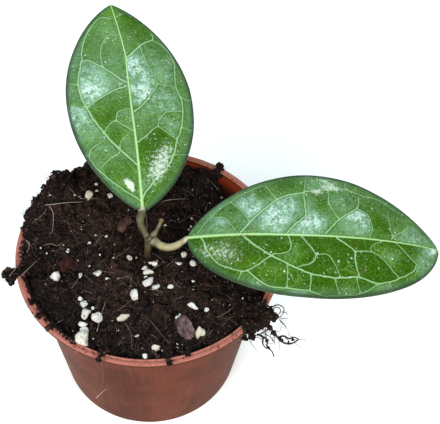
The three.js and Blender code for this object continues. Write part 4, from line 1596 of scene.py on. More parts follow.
@dataclass(frozen=True)
class BarkChip:
    """A chip of bark half sunk in the mix, tilted and then turned by angles in degrees."""

    node: str
    x: float
    y: float
    size: tuple[float, float, float]
    turn: float
    tilt: float
    finish: BarkSkin
    roll: float = math.degrees(0.9)

    def build(self, fill: PottingMixFill) -> bpy.types.Object:
        """Makes the chip as a dented ball with fine flakes.

        Args:
            fill: the mix that it lies in.
        Returns:
            The piece.
        """
        direction, faces = ball(40, 60)
        half = 0.5 * direction
        half = half * (1 + 0.12 * lumps(3 * half + np.array([3.0, 0, 0])))[:, None]
        local = half * np.array(self.size)
        flakes = rough(local * np.array([0.3, 0.9, 1.4]) + 4.0, 4)
        local = local + direction * (0.3 * flakes + 0.35 * np.sign(flakes) * np.abs(flakes) ** 0.5)[:, None]
        turn = turn_matrix("Z", self.turn) @ turn_matrix("Y", self.tilt) @ turn_matrix("X", self.roll)
        z = fill.height(np.array([self.x]), np.array([self.y]))[0] + 0.12 * self.size[2]
        shape = Shape(local @ turn.T + np.array([self.x, self.y, z]), faces)
        return dressed(linked(self.node + "_dressed", shape), self.finish.material(), self.node)


# Fibres


@dataclass
class Fibres:
    """Fine coir fibres: strewn over the mix, sticking out of the clods, and a few long ones where they lie.

    A long one is its radius, its tone and then its points: X, Y and height above the rim, or for those on the
    wall an angle in degrees and a height. Each start of the tuft is a place and an outward angle.
    """

    clods: Clods
    seed: int = 23
    strewn: int = 2200
    bristles: int = 480
    on_clods: Span = (0.12, 0.85)
    lying_lengths: Row = (1.5, 7.0, 2)
    bristle_lengths: Span = (1.2, 3.5)
    radii: Span = (0.035, 0.075)
    straw_share: float = 0.12
    straw_tones: Span = (0.75, 1.0)
    brown_tones: Span = (0.0, 0.6)
    knots: int = 8
    smooth_points: int = 14
    tuft_count: int = 36
    tuft_spread: float = 45
    tuft_lengths: Span = (1.5, 4.5)
    tuft_radii: Span = (0.06, 0.16)
    tuft_tones: Span = (0.0, 0.2)
    tuft_starts: tuple[Row, ...] = (
        (48.6, -32, 0, 10), (48.4, -34.6, -1, -30), (42, -38.6, -1.6, -60), (38.6, -40.6, -2.4, -60),
        (40.6, -41.4, -3, -40), (46.4, -39.4, -3.4, -40), (49.6, -40.6, -5, -20), (52.6, -40.8, -5.6, 0),
    )
    lying: tuple[Line, ...] = (
        (0.11, 1, (-41.4, 16.9, 7.3), (-37.5, 17.2, 7.4), (-33.3, 18.8, 6.2), (-29.7, 19.2, 5.9),
         (-26.6, 19.7, 5.5)),
        (0.1, 0.97, (-39.7, 16.6, 6.9), (-38.2, 13.9, 6.2), (-38, 10.3, 5), (-38.1, 5, 4.5)),
        (0.12, 0.95, (-48.3, 2.6, 3.2), (-47.2, 1.3, 3), (-47, -0.6, 2.3), (-47.9, -2.2, 1.5)),
        (0.11, 0.92, (-42.4, -0.3, 3), (-38.7, 0.7, 3.1), (-36.1, -0.3, 3), (-34.1, 1.4, 2.8)),
        (0.12, 0.9, (-50.2, -14.7, 1.8), (-47, -13.5, 4.9), (-44.3, -10.7, 5.6), (-41.8, -6.6, 4.3)),
        (0.1, 0.92, (-53.3, -13.7, 2.4), (-51.5, -12.5, 4.4), (-49.6, -9, 4.4)),
        (0.14, 0.72, (-29.7, -19.9, 2.2), (-27.6, -16.3, 2.6), (-26.2, -12.7, 2.6)),
        (0.12, 0.92, (-19.9, -38.5, 1.4), (-18.5, -33, 2.6), (-16.8, -26.6, 3.2)),
        (0.13, 0.82, (-9.7, -35.5, 2.2), (-7.5, -40.2, 1.8), (-7.2, -46, 0.6)),
        (0.11, 0.8, (-0.5, -35, 2.2), (2.3, -38.9, 1.8), (6.2, -44.1, 0.8)),
        (0.11, 0.7, (-12.3, -30.7, 2.8), (-9, -28.2, 3.2), (-6, -25.2, 3.2)),
        (0.1, 0.84, (-15.6, -7.9, 2.8), (-10.9, -5.2, 3.4), (-7.4, -1.4, 3.2)),
        (0.1, 0.8, (-9.4, -13.7, 3.2), (-7.5, -17, 3.4), (-5.2, -20.3, 3.2)),
        (0.07, 1, (-2, 1, 21), (-1.3, 1.6, 18.4), (-0.9, 0.4, 15.4), (-1.1, -1.6, 13.2)),
        (0.1, 0.78, (3.5, 11.1, 3.6), (6.2, 5.9, 3.8), (8.1, 1.3, 3.6)),
        (0.12, 0.8, (24, -34.7, 2), (29.5, -32.3, 3.6), (33.3, -27.1, 4)),
        (0.1, 0.95, (5.4, 20.7, 3.4), (9.6, 21.7, 3.4), (15.4, 22.6, 2.6)),
        (0.09, 0.6, (-33, 12, 4.2), (-30.6, 6, 3.6), (-27.5, 0, 3.2)),
        (0.09, 0.8, (12, 10, 3), (18, 14, 2.2), (22.5, 12.5, 1.4)),
        (0.26, 0.06, (45.6, -30.2, 1), (48, -29.5, 1.4), (50, -30.6, 1), (49.9, -32.4, 0),
         (48.1, -34, -0.6)),
        (0.24, 0.06, (45.1, -31.5, 1), (47.5, -30.4, 1.2), (48.8, -31.6, 0.6), (47.3, -33.4, -0.4)),
        (0.1, 0.12, (48, -34.2, -1), (50, -36.2, -2.2), (51.4, -38.2, -3.6), (51.8, -39.8, -4.8)),
        (0.5, 0.05, (43.9, -37.3, -1), (46, -39.2, -3), (48.1, -41.3, -5), (50.5, -42.4, -5.6),
         (53, -42, -6), (55.2, -40.6, -6)),
        (0.42, 0.05, (47.3, -40.6, -4), (49.6, -39.4, -5), (51.8, -40.4, -5.4), (53.6, -39.6, -5.8),
         (55.6, -40.5, -6)),
        (0.12, 0.1, (55.5, -40.6, -6), (57.4, -40.7, -6), (59.4, -40.4, -6)),
        (0.12, 0.1, (53.5, -41.6, -6), (54.9, -43, -6.4), (56.7, -43.6, -6.6)),
        (0.1, 0.15, (47.7, -41.5, -5), (47.7, -43.7, -6.5), (47.5, -45.8, -8)),
        (0.4, 0.05, (40.6, -40.4, -2), (42.9, -42, -3.2), (42.8, -44, -4.6), (44.6, -45.2, -5.8),
         (45.4, -47.2, -7)),
        (0.4, 0.05, (39.2, -39.9, -2), (41.4, -41, -3), (41.2, -43, -4), (42.8, -44.6, -5.2)),
        (0.12, 0.1, (36, -42.3, -2.5), (37.8, -44, -4), (39.3, -45.4, -5.5)),
        (0.3, 0.05, (39.1, -40.4, -2), (41.1, -39.6, -2), (43.9, -37.8, -1.5)),
    )
    on_wall: tuple[Line, ...] = (
        (0.12, 0.86, (-113.4, 70), (-114.5, 60), (-115.3, 50), (-117.1, 40.7), (-119.3, 29.1)),
        (0.16, 0.97, (-126.5, 14), (-121.6, 23.5), (-116.1, 33.8)),
        (0.08, 0.8, (-65.2, 75.5), (-63, 70), (-61.5, 65)),
        (0.07, 0.85, (-96.7, 75.5), (-98, 72), (-99, 69)),
    )

    def _strewn(self) -> Shape:
        """Fibres that lie on the mix or stick out of a clod, each bent evenly to one side.

        A fibre's heading turns at a steady rate; lying ones follow the surface and bristles rise out of it.

        Returns:
            All of them in one shape.
        """
        draw = np.random.default_rng(self.seed)
        fill = self.clods.fill
        groups = zip((self.strewn, self.bristles), self.on_clods)
        start = np.concatenate([self.clods.surface_spots(draw, *group) for group in groups])
        count = len(start)
        lying = np.arange(count) < self.strewn
        length = mostly_small(draw, count, *self.lying_lengths)
        length = np.where(lying, length, draw.uniform(*self.bristle_lengths, count))
        heading = draw.uniform(0, 2 * math.pi, count)
        out = np.arctan2(start[:, 1], start[:, 0]) + draw.normal(0, 0.8, count)
        heading = np.where(lying, heading, out)
        bend = draw.normal(0, 0.6, count)
        rise = np.where(lying, draw.uniform(-0.05, 0.22, count), draw.uniform(-0.5, 0.8, count))
        share = np.linspace(0, 1, self.knots)[None, :]
        angle = heading[:, None] + bend[:, None] * share
        step = (length / (self.knots - 1))[:, None] * np.cos(rise)[:, None]
        x = start[:, :1] + np.cumsum(np.cos(angle) * step, 1)
        y = start[:, 1:2] + np.cumsum(np.sin(angle) * step, 1)
        arch = length[:, None] * (np.sin(rise)[:, None] * share - 0.25 * share**2 * (~lying)[:, None])
        bed = fill.height(x, y) + 0.75 + 0.4 * lumps(level_points(x, y, 80.0))
        over = np.hypot(x, y) > fill.pot.mouth - 0.5
        lying_z = np.where(over, np.maximum(fill.pot.height + 0.4, bed), bed) + arch
        z = np.where(lying[:, None], lying_z, start[:, 2:] + arch)
        radii = draw.uniform(*self.radii, count)[:, None] * (1 - 0.55 * share)
        shape = tubes(np.stack([x, y, z], -1), radii, 3, (0.05, 0.02, 1.0))
        straw = draw.random(count) < self.straw_share
        tone = np.where(straw, draw.uniform(*self.straw_tones, count), draw.uniform(*self.brown_tones, count))
        tone = np.where(lying, tone, 0.45 * tone)
        shape.values["own"] = np.repeat(tone, len(shape.points) // count)
        return shape

    def _placed(self) -> Shape:
        """The long fibres that lie where they are listed, and the tuft that hangs over the rim.

        Returns:
            All of them in one shape.
        """
        pot = self.clods.fill.pot
        paths = [np.array(path) + [0, 0, pot.height] for _, _, *path in self.lying]
        for _, _, *path in self.on_wall:
            angle, z = np.array(path).T
            paths.append(around(pot.outer(z) + 0.15, np.radians(angle), z))
        hanging, looks = self._tuft()
        smooth = np.stack([smooth_path(p, self.smooth_points) for p in [*paths, *hanging]])
        radius, tone = np.array([line[:2] for line in (*self.lying, *self.on_wall, *looks)]).T
        taper = 1 - 0.5 * np.linspace(0, 1, self.smooth_points)[None, :]
        shape = tubes(smooth, radius[:, None] * taper, 6, (0.31, 0.2, 0.93))
        shape.values["own"] = np.repeat(tone, len(shape.points) // len(smooth))
        return shape

    def _tuft(self) -> tuple[list[Points], list[Span]]:
        """Dark rootlike fibres that hang out of the clod over the right of the front.

        Each leaves the clod outward and sags: height falls with the square of the distance.

        Returns:
            Paths of four points, and a radius and tone for each.
        """
        draw = np.random.default_rng(self.seed + 2)
        share = np.array([0, 0.35, 0.7, 1.0])
        paths, looks = [], []
        for _ in range(self.tuft_count):
            *middle, angle = self.tuft_starts[draw.integers(len(self.tuft_starts))]
            start = np.array(middle) + [0, 0, self.clods.fill.pot.height] + draw.normal(0, 0.5, 3)
            out = math.radians(draw.normal(angle, self.tuft_spread))
            length = draw.uniform(*self.tuft_lengths)
            side = draw.normal(0, 0.9, 4) * share
            x = start[0] + length * share * math.cos(out) + side
            y = start[1] + length * share * math.sin(out) - side
            z = start[2] - length * 0.3 * share**2 + draw.normal(0, 0.4, 4) * share
            paths.append(np.stack([x, y, z], -1))
            looks.append((draw.uniform(*self.tuft_radii), draw.uniform(*self.tuft_tones)))
        return paths, looks

    def build(self, finish: Coir) -> None:
        """Makes the strewn and the placed fibres."""
        material = finish.material()
        dressed(linked("strewn_fibres", self._strewn()), material)
        dressed(linked("long_fibres", self._placed()), material)


# The plant


@dataclass
class Stem:
    """The stem with its node, its two leaf stalks and the thin shoot, grown together.

    Each part is rows of X, Y, height above the rim and radius. A ring of bark, the node and the place of the
    painted highlight are such rows too.
    """

    pot: Pot
    voxel: float = 0.15
    back: tuple[Row, ...] = (
        (-0.3, -4.9, 12.6, 1.45), (-1.3, -4.6, 14.2, 1.35), (-2.2, -4, 16.2, 1.25), (-3.1, -3.2, 18.6, 1.4),
        (-3.4, -2.3, 20.9, 1.5), (-3, -1.1, 22.6, 1.5), (-2.5, 0.6, 23.5, 1.2), (-2.6, 3.2, 23.6, 0.7),
    )
    right: tuple[Row, ...] = (
        (0, -5.2, 12.6, 1.6), (1.1, -5.5, 11.9, 1.95), (2.2, -5.7, 11, 1.85), (3.2, -6, 10.2, 1.55),
        (4.8, -6.4, 9.2, 1.62), (7.4, -6.6, 8.6, 1.62), (9.9, -6.1, 8.8, 1.5), (12.4, -5.2, 9.9, 1.3),
        (14.6, -4.6, 11.2, 1.1), (17.2, -5.2, 12, 0.7),
    )
    shoot: tuple[Row, ...] = (
        (-0.2, -5, 12.6, 1.3), (0.9, -5.1, 13.8, 1), (1.6, -5, 15, 1.15), (2, -4.95, 15.7, 1.2),
        (2.4, -4.9, 16.4, 0.8), (3.7, -4.3, 19.5, 0.72), (4.4, -3.8, 21.4, 0.75), (4.7, -3.65, 22.3, 0.85),
    )
    foot: tuple[Row, ...] = (
        (-2.2, -4.8, -34, 1.2), (-1.8, -4.8, -8, 1.4), (-1.2, -4.8, 1, 1.35), (-0.8, -4.9, 5, 1.3),
        (-0.6, -4.8, 9, 1.35), (-0.5, -4.85, 11, 1.5), (-0.35, -4.9, 12.2, 1.75), (-0.1, -5, 13.8, 1.45),
    )
    rings: tuple[Row, ...] = (
        (-0.9, -4.75, 13.6, 1.75), (1.5, -5.6, 11.6, 2.1), (2, -4.95, 15.6, 1.4), (-0.6, -4.85, 10.6, 1.75),
    )
    ring_width: float = 0.22
    node: Row = (0.1, -5, 13.4, 2.0)
    # place and reach of the painted highlight on the right stalk's bulge
    highlight_place: Row = (3.6, -6, 10, 4.0)

    def _stalk(self, knots: tuple[Row, ...], reference: Row, count: int) -> Shape:
        """Carries a round section along one part of the stem, with low knuckles and faint dents.

        Args:
            knots: place above the rim and radius of each knot.
            reference: a direction that the part never runs along.
            count: number of rings.
        Returns:
            The part's skin.
        """
        path = smooth_path(np.array(knots), count)
        path[:, 2] += self.pot.height
        radius = path[:, 3] * (1 + 0.07 * lumps(path[:, :3] / 1.4))
        return tubes(path[None, :, :3], radius[None], 28, reference)

    def _looks(self, above: Points) -> dict[str, np.ndarray]:
        """How corky, scarred, yellow and golden the skin is, and where it gets its painted highlight.

        Args:
            above: places, with their heights above the rim.
        Returns:
            Named values, which fall off as bells about the node, the rings and the place of the painted
            highlight.
        """
        x, y, z = above.T
        # bells about the node and about the painted highlight on the right stalk's bulge
        node, yellow_and_highlight = (
            np.exp(-((np.linalg.norm(above - middle, axis=1) / reach) ** 2))
            for *middle, reach in (self.node, self.highlight_place)
        )
        scars = np.zeros(len(above))
        for *middle, radius in self.rings:
            scars += np.exp(-(((np.linalg.norm(above - middle, axis=1) - radius) / self.ring_width) ** 2))
        tip = smooth_step(z, 20.6, 21.8) * (x > 3)
        collar = smooth_step(y, -1.4, 0.2) * (x < 0) + smooth_step(x, 12.0, 14.4)
        return {
            "cork": 1.3 * node + 0.7 * smooth_step(-z, -11.0, -3.0) + 0.15 * tip,
            "collar": collar + 0.5 * scars,
            "yellow_and_highlight_share": yellow_and_highlight + 0.9 * smooth_step(x, 1.5, 9.0),
            "golden": tip + smooth_step(-z, -10.5, -7.0),
        }

    def build(self, finish: StalkSkin) -> bpy.types.Object:
        """Makes the stem: its parts are fused by a fine remesh and smoothed.

        Args:
            finish: its skin.
        Returns:
            The piece.
        """
        parts = [
            self._stalk(self.foot, (1, 0, 0), 90),
            self._stalk(self.back, (1, 0.2, 0), 60),
            self._stalk(self.right, (0, 1, 0), 80),
            self._stalk(self.shoot, (0, 1, 0), 50),
        ]
        made = linked("stem_grown", Shape.joined(parts))
        fuse = made.modifiers.new("fuse", "REMESH")
        fuse.mode, fuse.voxel_size, fuse.use_smooth_shade = "VOXEL", self.voxel * MM, True
        soften = made.modifiers.new("soften", "SMOOTH")
        soften.factor, soften.iterations = 0.5, 4
        apply_modifiers(made)
        points = vertex_data(made.data.vertices, "co") / MM
        for name, numbers in self._looks(points - [0, 0, self.pot.height]).items():
            store_value(made.data, name, np.clip(numbers, 0, 1))
        # painted shade: the more a place faces down, the darker it is painted
        downward = -vertex_data(made.data.vertex_normals, "vector")[:, 2]
        store_value(made.data, "below", smooth_step(downward, -0.6, 0.35))
        return dressed(made, finish.material(), "stem")


class Side(Enum):
    """The two faces of a blade."""

    UPPER = 1
    UNDER = -1


@dataclass(frozen=True)
class Spot:
    """A soft-edged patch on a blade, in shares of length and half width, and how strong it is."""

    along: float
    across: float
    spread_along: float
    spread_across: float
    strength: float


@dataclass(frozen=True)
class SheenPatch:
    """A patch of painted sheen on a blade, or with a negative strength a deeper green, that ends at the veins
    round it.
    """

    along: float
    across: float
    reach: float
    strength: float


@dataclass
class Leaf:
    """A thick blade on a midrib whose heading and slope change evenly, netted with sunken veins.

    A vein is its half width in millimetres and then its points, as shares of the length and of the half width,
    the left half being positive. The names that end in "size" are lengths of waves.
    """

    node: str
    base: Row
    heading: Span
    slope: Span
    roll: float
    length: float
    half_width: Span
    fullness: Span
    veins: tuple[Line, ...]
    residue: tuple[Spot, ...]
    # patches of painted sheen, each ending at the veins round its cell
    sheen_patches: tuple[SheenPatch, ...]
    soiled: tuple[Spot, ...] = ()
    lush: tuple[Spot, ...] = ()
    # painted sheen of each half away from the patches, the left half first
    plain_sheen: Span = (0.1, 0.1)
    drift: tuple[Span, ...] = ((0.0, 0.0), (1.0, 0.0))
    vein_scale: float = 1.1
    vein_taper: Span = (1.15, 0.8)
    rib_scale: float = 1.0
    rib_widths: Span = (0.55, 0.17)
    waver: float = 0.3
    waver_size: float = 2.6
    vein_wall: float = 14.0
    thickness: float = 1.7
    margin: float = 0.85
    edge_radius: float = 0.42
    end_round: float = 0.9
    recurve: float = 0.1
    keel: float = 1.0
    ridge: float = 0.22
    pucker: float = 0.34
    pucker_size: float = 2.6
    wave: float = 0.55
    wave_sizes: Span = (17.0, 21.0)
    dimple: float = 0.10
    dimple_size: float = 3.2
    rows: int = 270
    columns: int = 118
    band: int = 5
    sheen_steps: int = 55

    def _spine(self, a: np.ndarray, pot_height: float) -> tuple[Points, Points, Points]:
        """The midrib: the sum of short steps along a heading and a slope that change in straight lines.

        Args:
            a: shares of the length.
            pot_height: height that the base is counted from.
        Returns:
            Places, sideways directions to the left, and directions out of the upper face.
        """
        t = np.linspace(0, 1, 2001)
        middle = (t[1:] + t[:-1]) / 2
        steps = self._along(middle) * self.length / len(middle)
        start = np.array(self.base) + [0, 0, pot_height]
        line = start + np.concatenate([np.zeros((1, 3)), np.cumsum(steps, 0)])
        places = np.stack([np.interp(a, t, line[:, n]) for n in range(3)], -1)
        heading = np.radians(blend(*self.heading, a))
        left = np.stack([-np.sin(heading), np.cos(heading), 0 * a], -1)
        up = np.cross(self._along(a), left)
        c, s = math.cos(math.radians(self.roll)), math.sin(math.radians(self.roll))
        return places, left * c + up * s, up * c - left * s

    def _along(self, a: np.ndarray) -> Points:
        """Unit directions of the midrib at shares of its length."""
        heading, slope = np.radians(blend(*self.heading, a)), np.radians(blend(*self.slope, a))
        return around(np.cos(slope), heading, np.sin(slope))

    def _half(self, a: np.ndarray, left: np.ndarray) -> np.ndarray:
        """Half width: its widest times (a / w)^p ((1 - a) / (1 - w))^q, widest at w = p / (p + q).

        Args:
            a: shares of the length.
            left: whether each place is left of the midrib.
        Returns:
            Half widths in millimetres.
        """
        at_base, at_tip = self.fullness
        widest = at_base / (at_base + at_tip)
        inside = np.clip(a, 0, 1)
        share = (inside / widest) ** at_base * ((1 - inside) / (1 - widest)) ** at_tip
        wave = 1 + 0.008 * lumps(np.stack([9 * a, 3.0 * left, 0 * a + self.length], -1))
        return np.where(left, *self.half_width) * share * wave

    def _grid(self) -> tuple[np.ndarray, np.ndarray, np.ndarray]:
        """Rows that crowd towards both ends, and columns with a narrow band along each margin.

        Returns:
            Share of length, share of half width and half width in millimetres at each place.
        """
        s = np.linspace(0, 1, self.rows)
        a = blend(s, (1 - np.cos(math.pi * s)) / 2, 0.6)[:, None]
        inner = np.linspace(-1, 1, self.columns)[None, :]
        closing = 1 - np.sin(np.linspace(0, 1, self.band + 1)[None, 1:] * math.pi / 2)
        right, left = (self._half(a, np.full_like(a, side, dtype=bool)) for side in (False, True))
        right_edge, left_edge = (
            np.minimum(self.edge_radius * 1.1, 0.3 * half) / np.maximum(half, 1e-6) for half in (right, left)
        )
        core = inner * (1 - np.where(inner > 0, left_edge, right_edge))
        v = np.concatenate([-(1 - right_edge * closing)[:, ::-1], core, 1 - left_edge * closing], 1)
        return a + 0 * v, v, np.where(v > 0, left, right)

    def _vein_fields(self, a: np.ndarray, v: np.ndarray, half: np.ndarray) -> dict[str, np.ndarray]:
        """Distances from each place to the veins, on the blade laid flat.

        Args:
            a: shares of the length.
            v: shares of the half width.
            half: half widths in millimetres.
        Returns:
            "vein" is the distance over the vein's half width, "across" the same with the sign of the vein's
            side, which is straight across the vein, "away" the distance from its edge in millimetres, and
            "bold" the vein's half width in quarters of a millimetre.
        """
        flat = np.stack([a * self.length, v * half], -1)
        x, y = np.moveaxis(flat, -1, 0) / self.waver_size
        layers = [rough(level_points(x, y, layer), 2) for layer in (60.0, 70.0)]
        flat = flat + self.waver * np.stack(layers, -1)
        closest = np.full(a.shape, 9.0)
        across, away, bold = closest.copy(), closest.copy(), 0 * a
        for half_width, *knots in self.veins:
            path = smooth_path(np.array(knots), 6 * len(knots))
            wide = self._half(path[:, 0], path[:, 1] > 0)
            line = np.stack([path[:, 0] * self.length, path[:, 1] * wide], -1)
            taper = self.vein_scale * half_width * np.linspace(*self.vein_taper, len(line))
            for start, end, width in zip(line[:-1], line[1:], taper):
                step = end - start
                t = np.clip(((flat - start) @ step) / max(step @ step, 1e-9), 0, 1)
                gap = np.linalg.norm(flat - start - t[..., None] * step, axis=-1)
                beside = (flat[..., 1] - start[1]) * step[0] - (flat[..., 0] - start[0]) * step[1]
                nearer = gap / width < closest
                closest = np.where(nearer, gap / width, closest)
                across = np.where(nearer, np.sign(beside) * closest, across)
                bold = np.where(nearer, min(4 * half_width, 1.0), bold)
                away = np.minimum(away, gap - width)
        closest, away = np.minimum(closest, 4.0), np.maximum(away, 0.0)
        return {"vein": closest, "across": np.clip(across, -4, 4), "away": away, "bold": bold}

    def _painted_sheen(self, a: np.ndarray, v: np.ndarray, half: np.ndarray, vein_gap: np.ndarray) -> np.ndarray:
        """Painted sheen of the blade: each patch falls off as a bell of the shortest way to its middle.

        Ways are found by letting every place take over its neighbours' ways until they settle. A step beside a
        vein counts several times, so that a patch ends at the veins round its cell.

        Args:
            a: shares of the length.
            v: shares of the half width.
            half: half widths in millimetres.
            vein_gap: distance from the nearest vein in millimetres.
        Returns:
            Painted sheen from -1 to 1; below 0 it is a deeper green.
        """
        flat = np.stack([a * self.length, v * half], -1)
        cost = 1.0 + self.vein_wall * (vein_gap < 0.3)
        ways = np.full((len(self.sheen_patches), *a.shape), 99.0)
        for way, sheen_patch in zip(ways, self.sheen_patches):
            way.flat[np.argmin((a - sheen_patch.along) ** 2 * 4 + (v - sheen_patch.across) ** 2)] = 0.0
        links = []
        for rows, columns in ((0, 1), (1, 0), (1, 1), (1, -1)):
            here = (slice(0, len(a) - rows), slice(max(0, -columns), a.shape[1] - max(0, columns)))
            there = (slice(rows, len(a)), slice(max(0, columns), a.shape[1] + min(0, columns)))
            step = np.linalg.norm(flat[here] - flat[there], axis=-1) * (cost[here] + cost[there]) / 2
            links.append(((slice(None), *here), (slice(None), *there), step))
        for _ in range(self.sheen_steps):
            for here, there, step in links:
                ways[there] = np.minimum(ways[there], ways[here] + step)
                ways[here] = np.minimum(ways[here], ways[there] + step)
        total = np.where(v > 0, *self.plain_sheen)
        for way, sheen_patch in zip(ways, self.sheen_patches):
            total = total + (sheen_patch.strength - total) * np.exp(-((way / sheen_patch.reach) ** 2))
        return total

    def _border(self, a: np.ndarray, v: np.ndarray) -> np.ndarray:
        """How far outside the loops of the veins a place lies: 0 inside them, 1 towards the margin."""
        reach = 0.80 * np.clip(a / 0.16, 0, 1) ** 0.5 * np.clip((1 - a) / 0.12, 0, 1) ** 0.4
        return smooth_step(np.abs(v) - reach, -0.02, 0.14)

    @staticmethod
    def _patches(spots: tuple[Spot, ...], a: np.ndarray, v: np.ndarray) -> np.ndarray:
        """Sum of bell-shaped patches, up to 2.

        Args:
            spots: the patches.
            a: shares of the length.
            v: shares of the half width.
        Returns:
            The sum at each place.
        """
        total = np.zeros_like(a)
        for s in spots:
            along, across = (a - s.along) / s.spread_along, (v - s.across) / s.spread_across
            total += s.strength * np.exp(-(along**2) - across**2)
        return np.minimum(total, 2.0)

    def _face(self, side: Side, pot_height: float) -> Shape:
        """One face of the blade.

        A place is midrib + sideways v w + outward (thickness and relief - bend), and bend is recurve w v^2.

        Args:
            side: the upper or the under face.
            pot_height: height that the base is counted from.
        Returns:
            The face with its values.
        """
        a, v, half = self._grid()
        place, lateral, normal = self._spine(a, pot_height)
        x, y = half * v, a * self.length
        to_margin = half * (1 - np.abs(v))
        to_end = self.length * np.minimum(a, 1 - a)
        round_off = np.sqrt(1 - (1 - np.clip(to_margin / self.edge_radius, 0, 1)) ** 2)
        round_off = round_off * np.sqrt(1 - (1 - np.clip(to_end / self.end_round, 0, 1)) ** 2)
        inward = smooth_step(to_margin, 0.0, 2.0)
        thick = blend(self.thickness, self.margin, v * v) / 2 * round_off
        fields = self._vein_fields(a, v, half)
        rib_width = self.rib_scale * blend(*self.rib_widths, a**0.6)
        beside = x - np.interp(a, *np.array(self.drift).T)
        rib = np.abs(beside) / rib_width
        cell = np.minimum(fields.pop("away"), np.maximum(np.abs(beside) - rib_width, 0.0))
        bulge = 1 - np.exp(-((cell / self.pucker_size) ** 2))
        wave = lumps(level_points(x / self.wave_sizes[0] + 3.0, y / self.wave_sizes[1], self.length))
        bend = self.recurve * half * v * v - self.wave * wave * inward
        upper = side is Side.UPPER
        if upper:
            ridge = self.ridge * np.exp(-(rib**2)) * (1 - 0.6 * a)
            dimples = inward * rough(level_points(x / self.dimple_size, y / self.dimple_size, 2.0), 2)
            height = thick + inward * (self.pucker * (bulge - 1) + ridge + self.dimple * dimples)
        else:
            ribs = self.keel * (1 - 0.8 * a) * np.exp(-(rib**2)) + 0.3 * np.exp(-(fields["vein"] ** 2))
            height = -(thick + inward * (ribs - 0.15 * bulge))
        points = place + lateral * x[..., None] + normal * (height - bend)[..., None]
        values = fields | {
            "lush": self._patches(self.lush, a, v),
            "midrib": np.clip(beside / rib_width, -4, 4),
            "border": self._border(a, v),
            "painted_sheen": self._painted_sheen(a, v, half, cell) if upper else 0 * a,
            "rim": np.minimum(to_margin, 4.0),
            "residue": self._patches(self.residue, a, v),
            "soiled": self._patches(self.soiled, a, v),
            "under": float(not upper) * smooth_step(to_margin, 0.0, 0.3),
            "flat_x": x,
            "flat_y": y,
        }
        faces = grid_triangles(*a.shape, flipped=not upper)
        return Shape(points.reshape(-1, 3), faces, {n: value.ravel() for n, value in values.items()})

    def build(self, pot: Pot, material: bpy.types.Material) -> bpy.types.Object:
        """Makes the leaf as one closed skin, with its flat coordinates as a UV map.

        Args:
            pot: the pot that its base is placed above.
            material: its finish.
        Returns:
            The piece.
        """
        shape = Shape.joined([self._face(side, pot.height) for side in Side]).welded()
        flat = np.stack([shape.values.pop("flat_x"), shape.values.pop("flat_y")], -1) * MM
        made = dressed(linked(self.node + "_blade", shape), material, self.node)
        corners = np.empty(len(made.data.loops), np.int32)
        made.data.loops.foreach_get("vertex_index", corners)
        layer = made.data.uv_layers.new(name="flat")
        layer.data.foreach_set("uv", flat[corners].astype(np.float32).ravel())
        return made


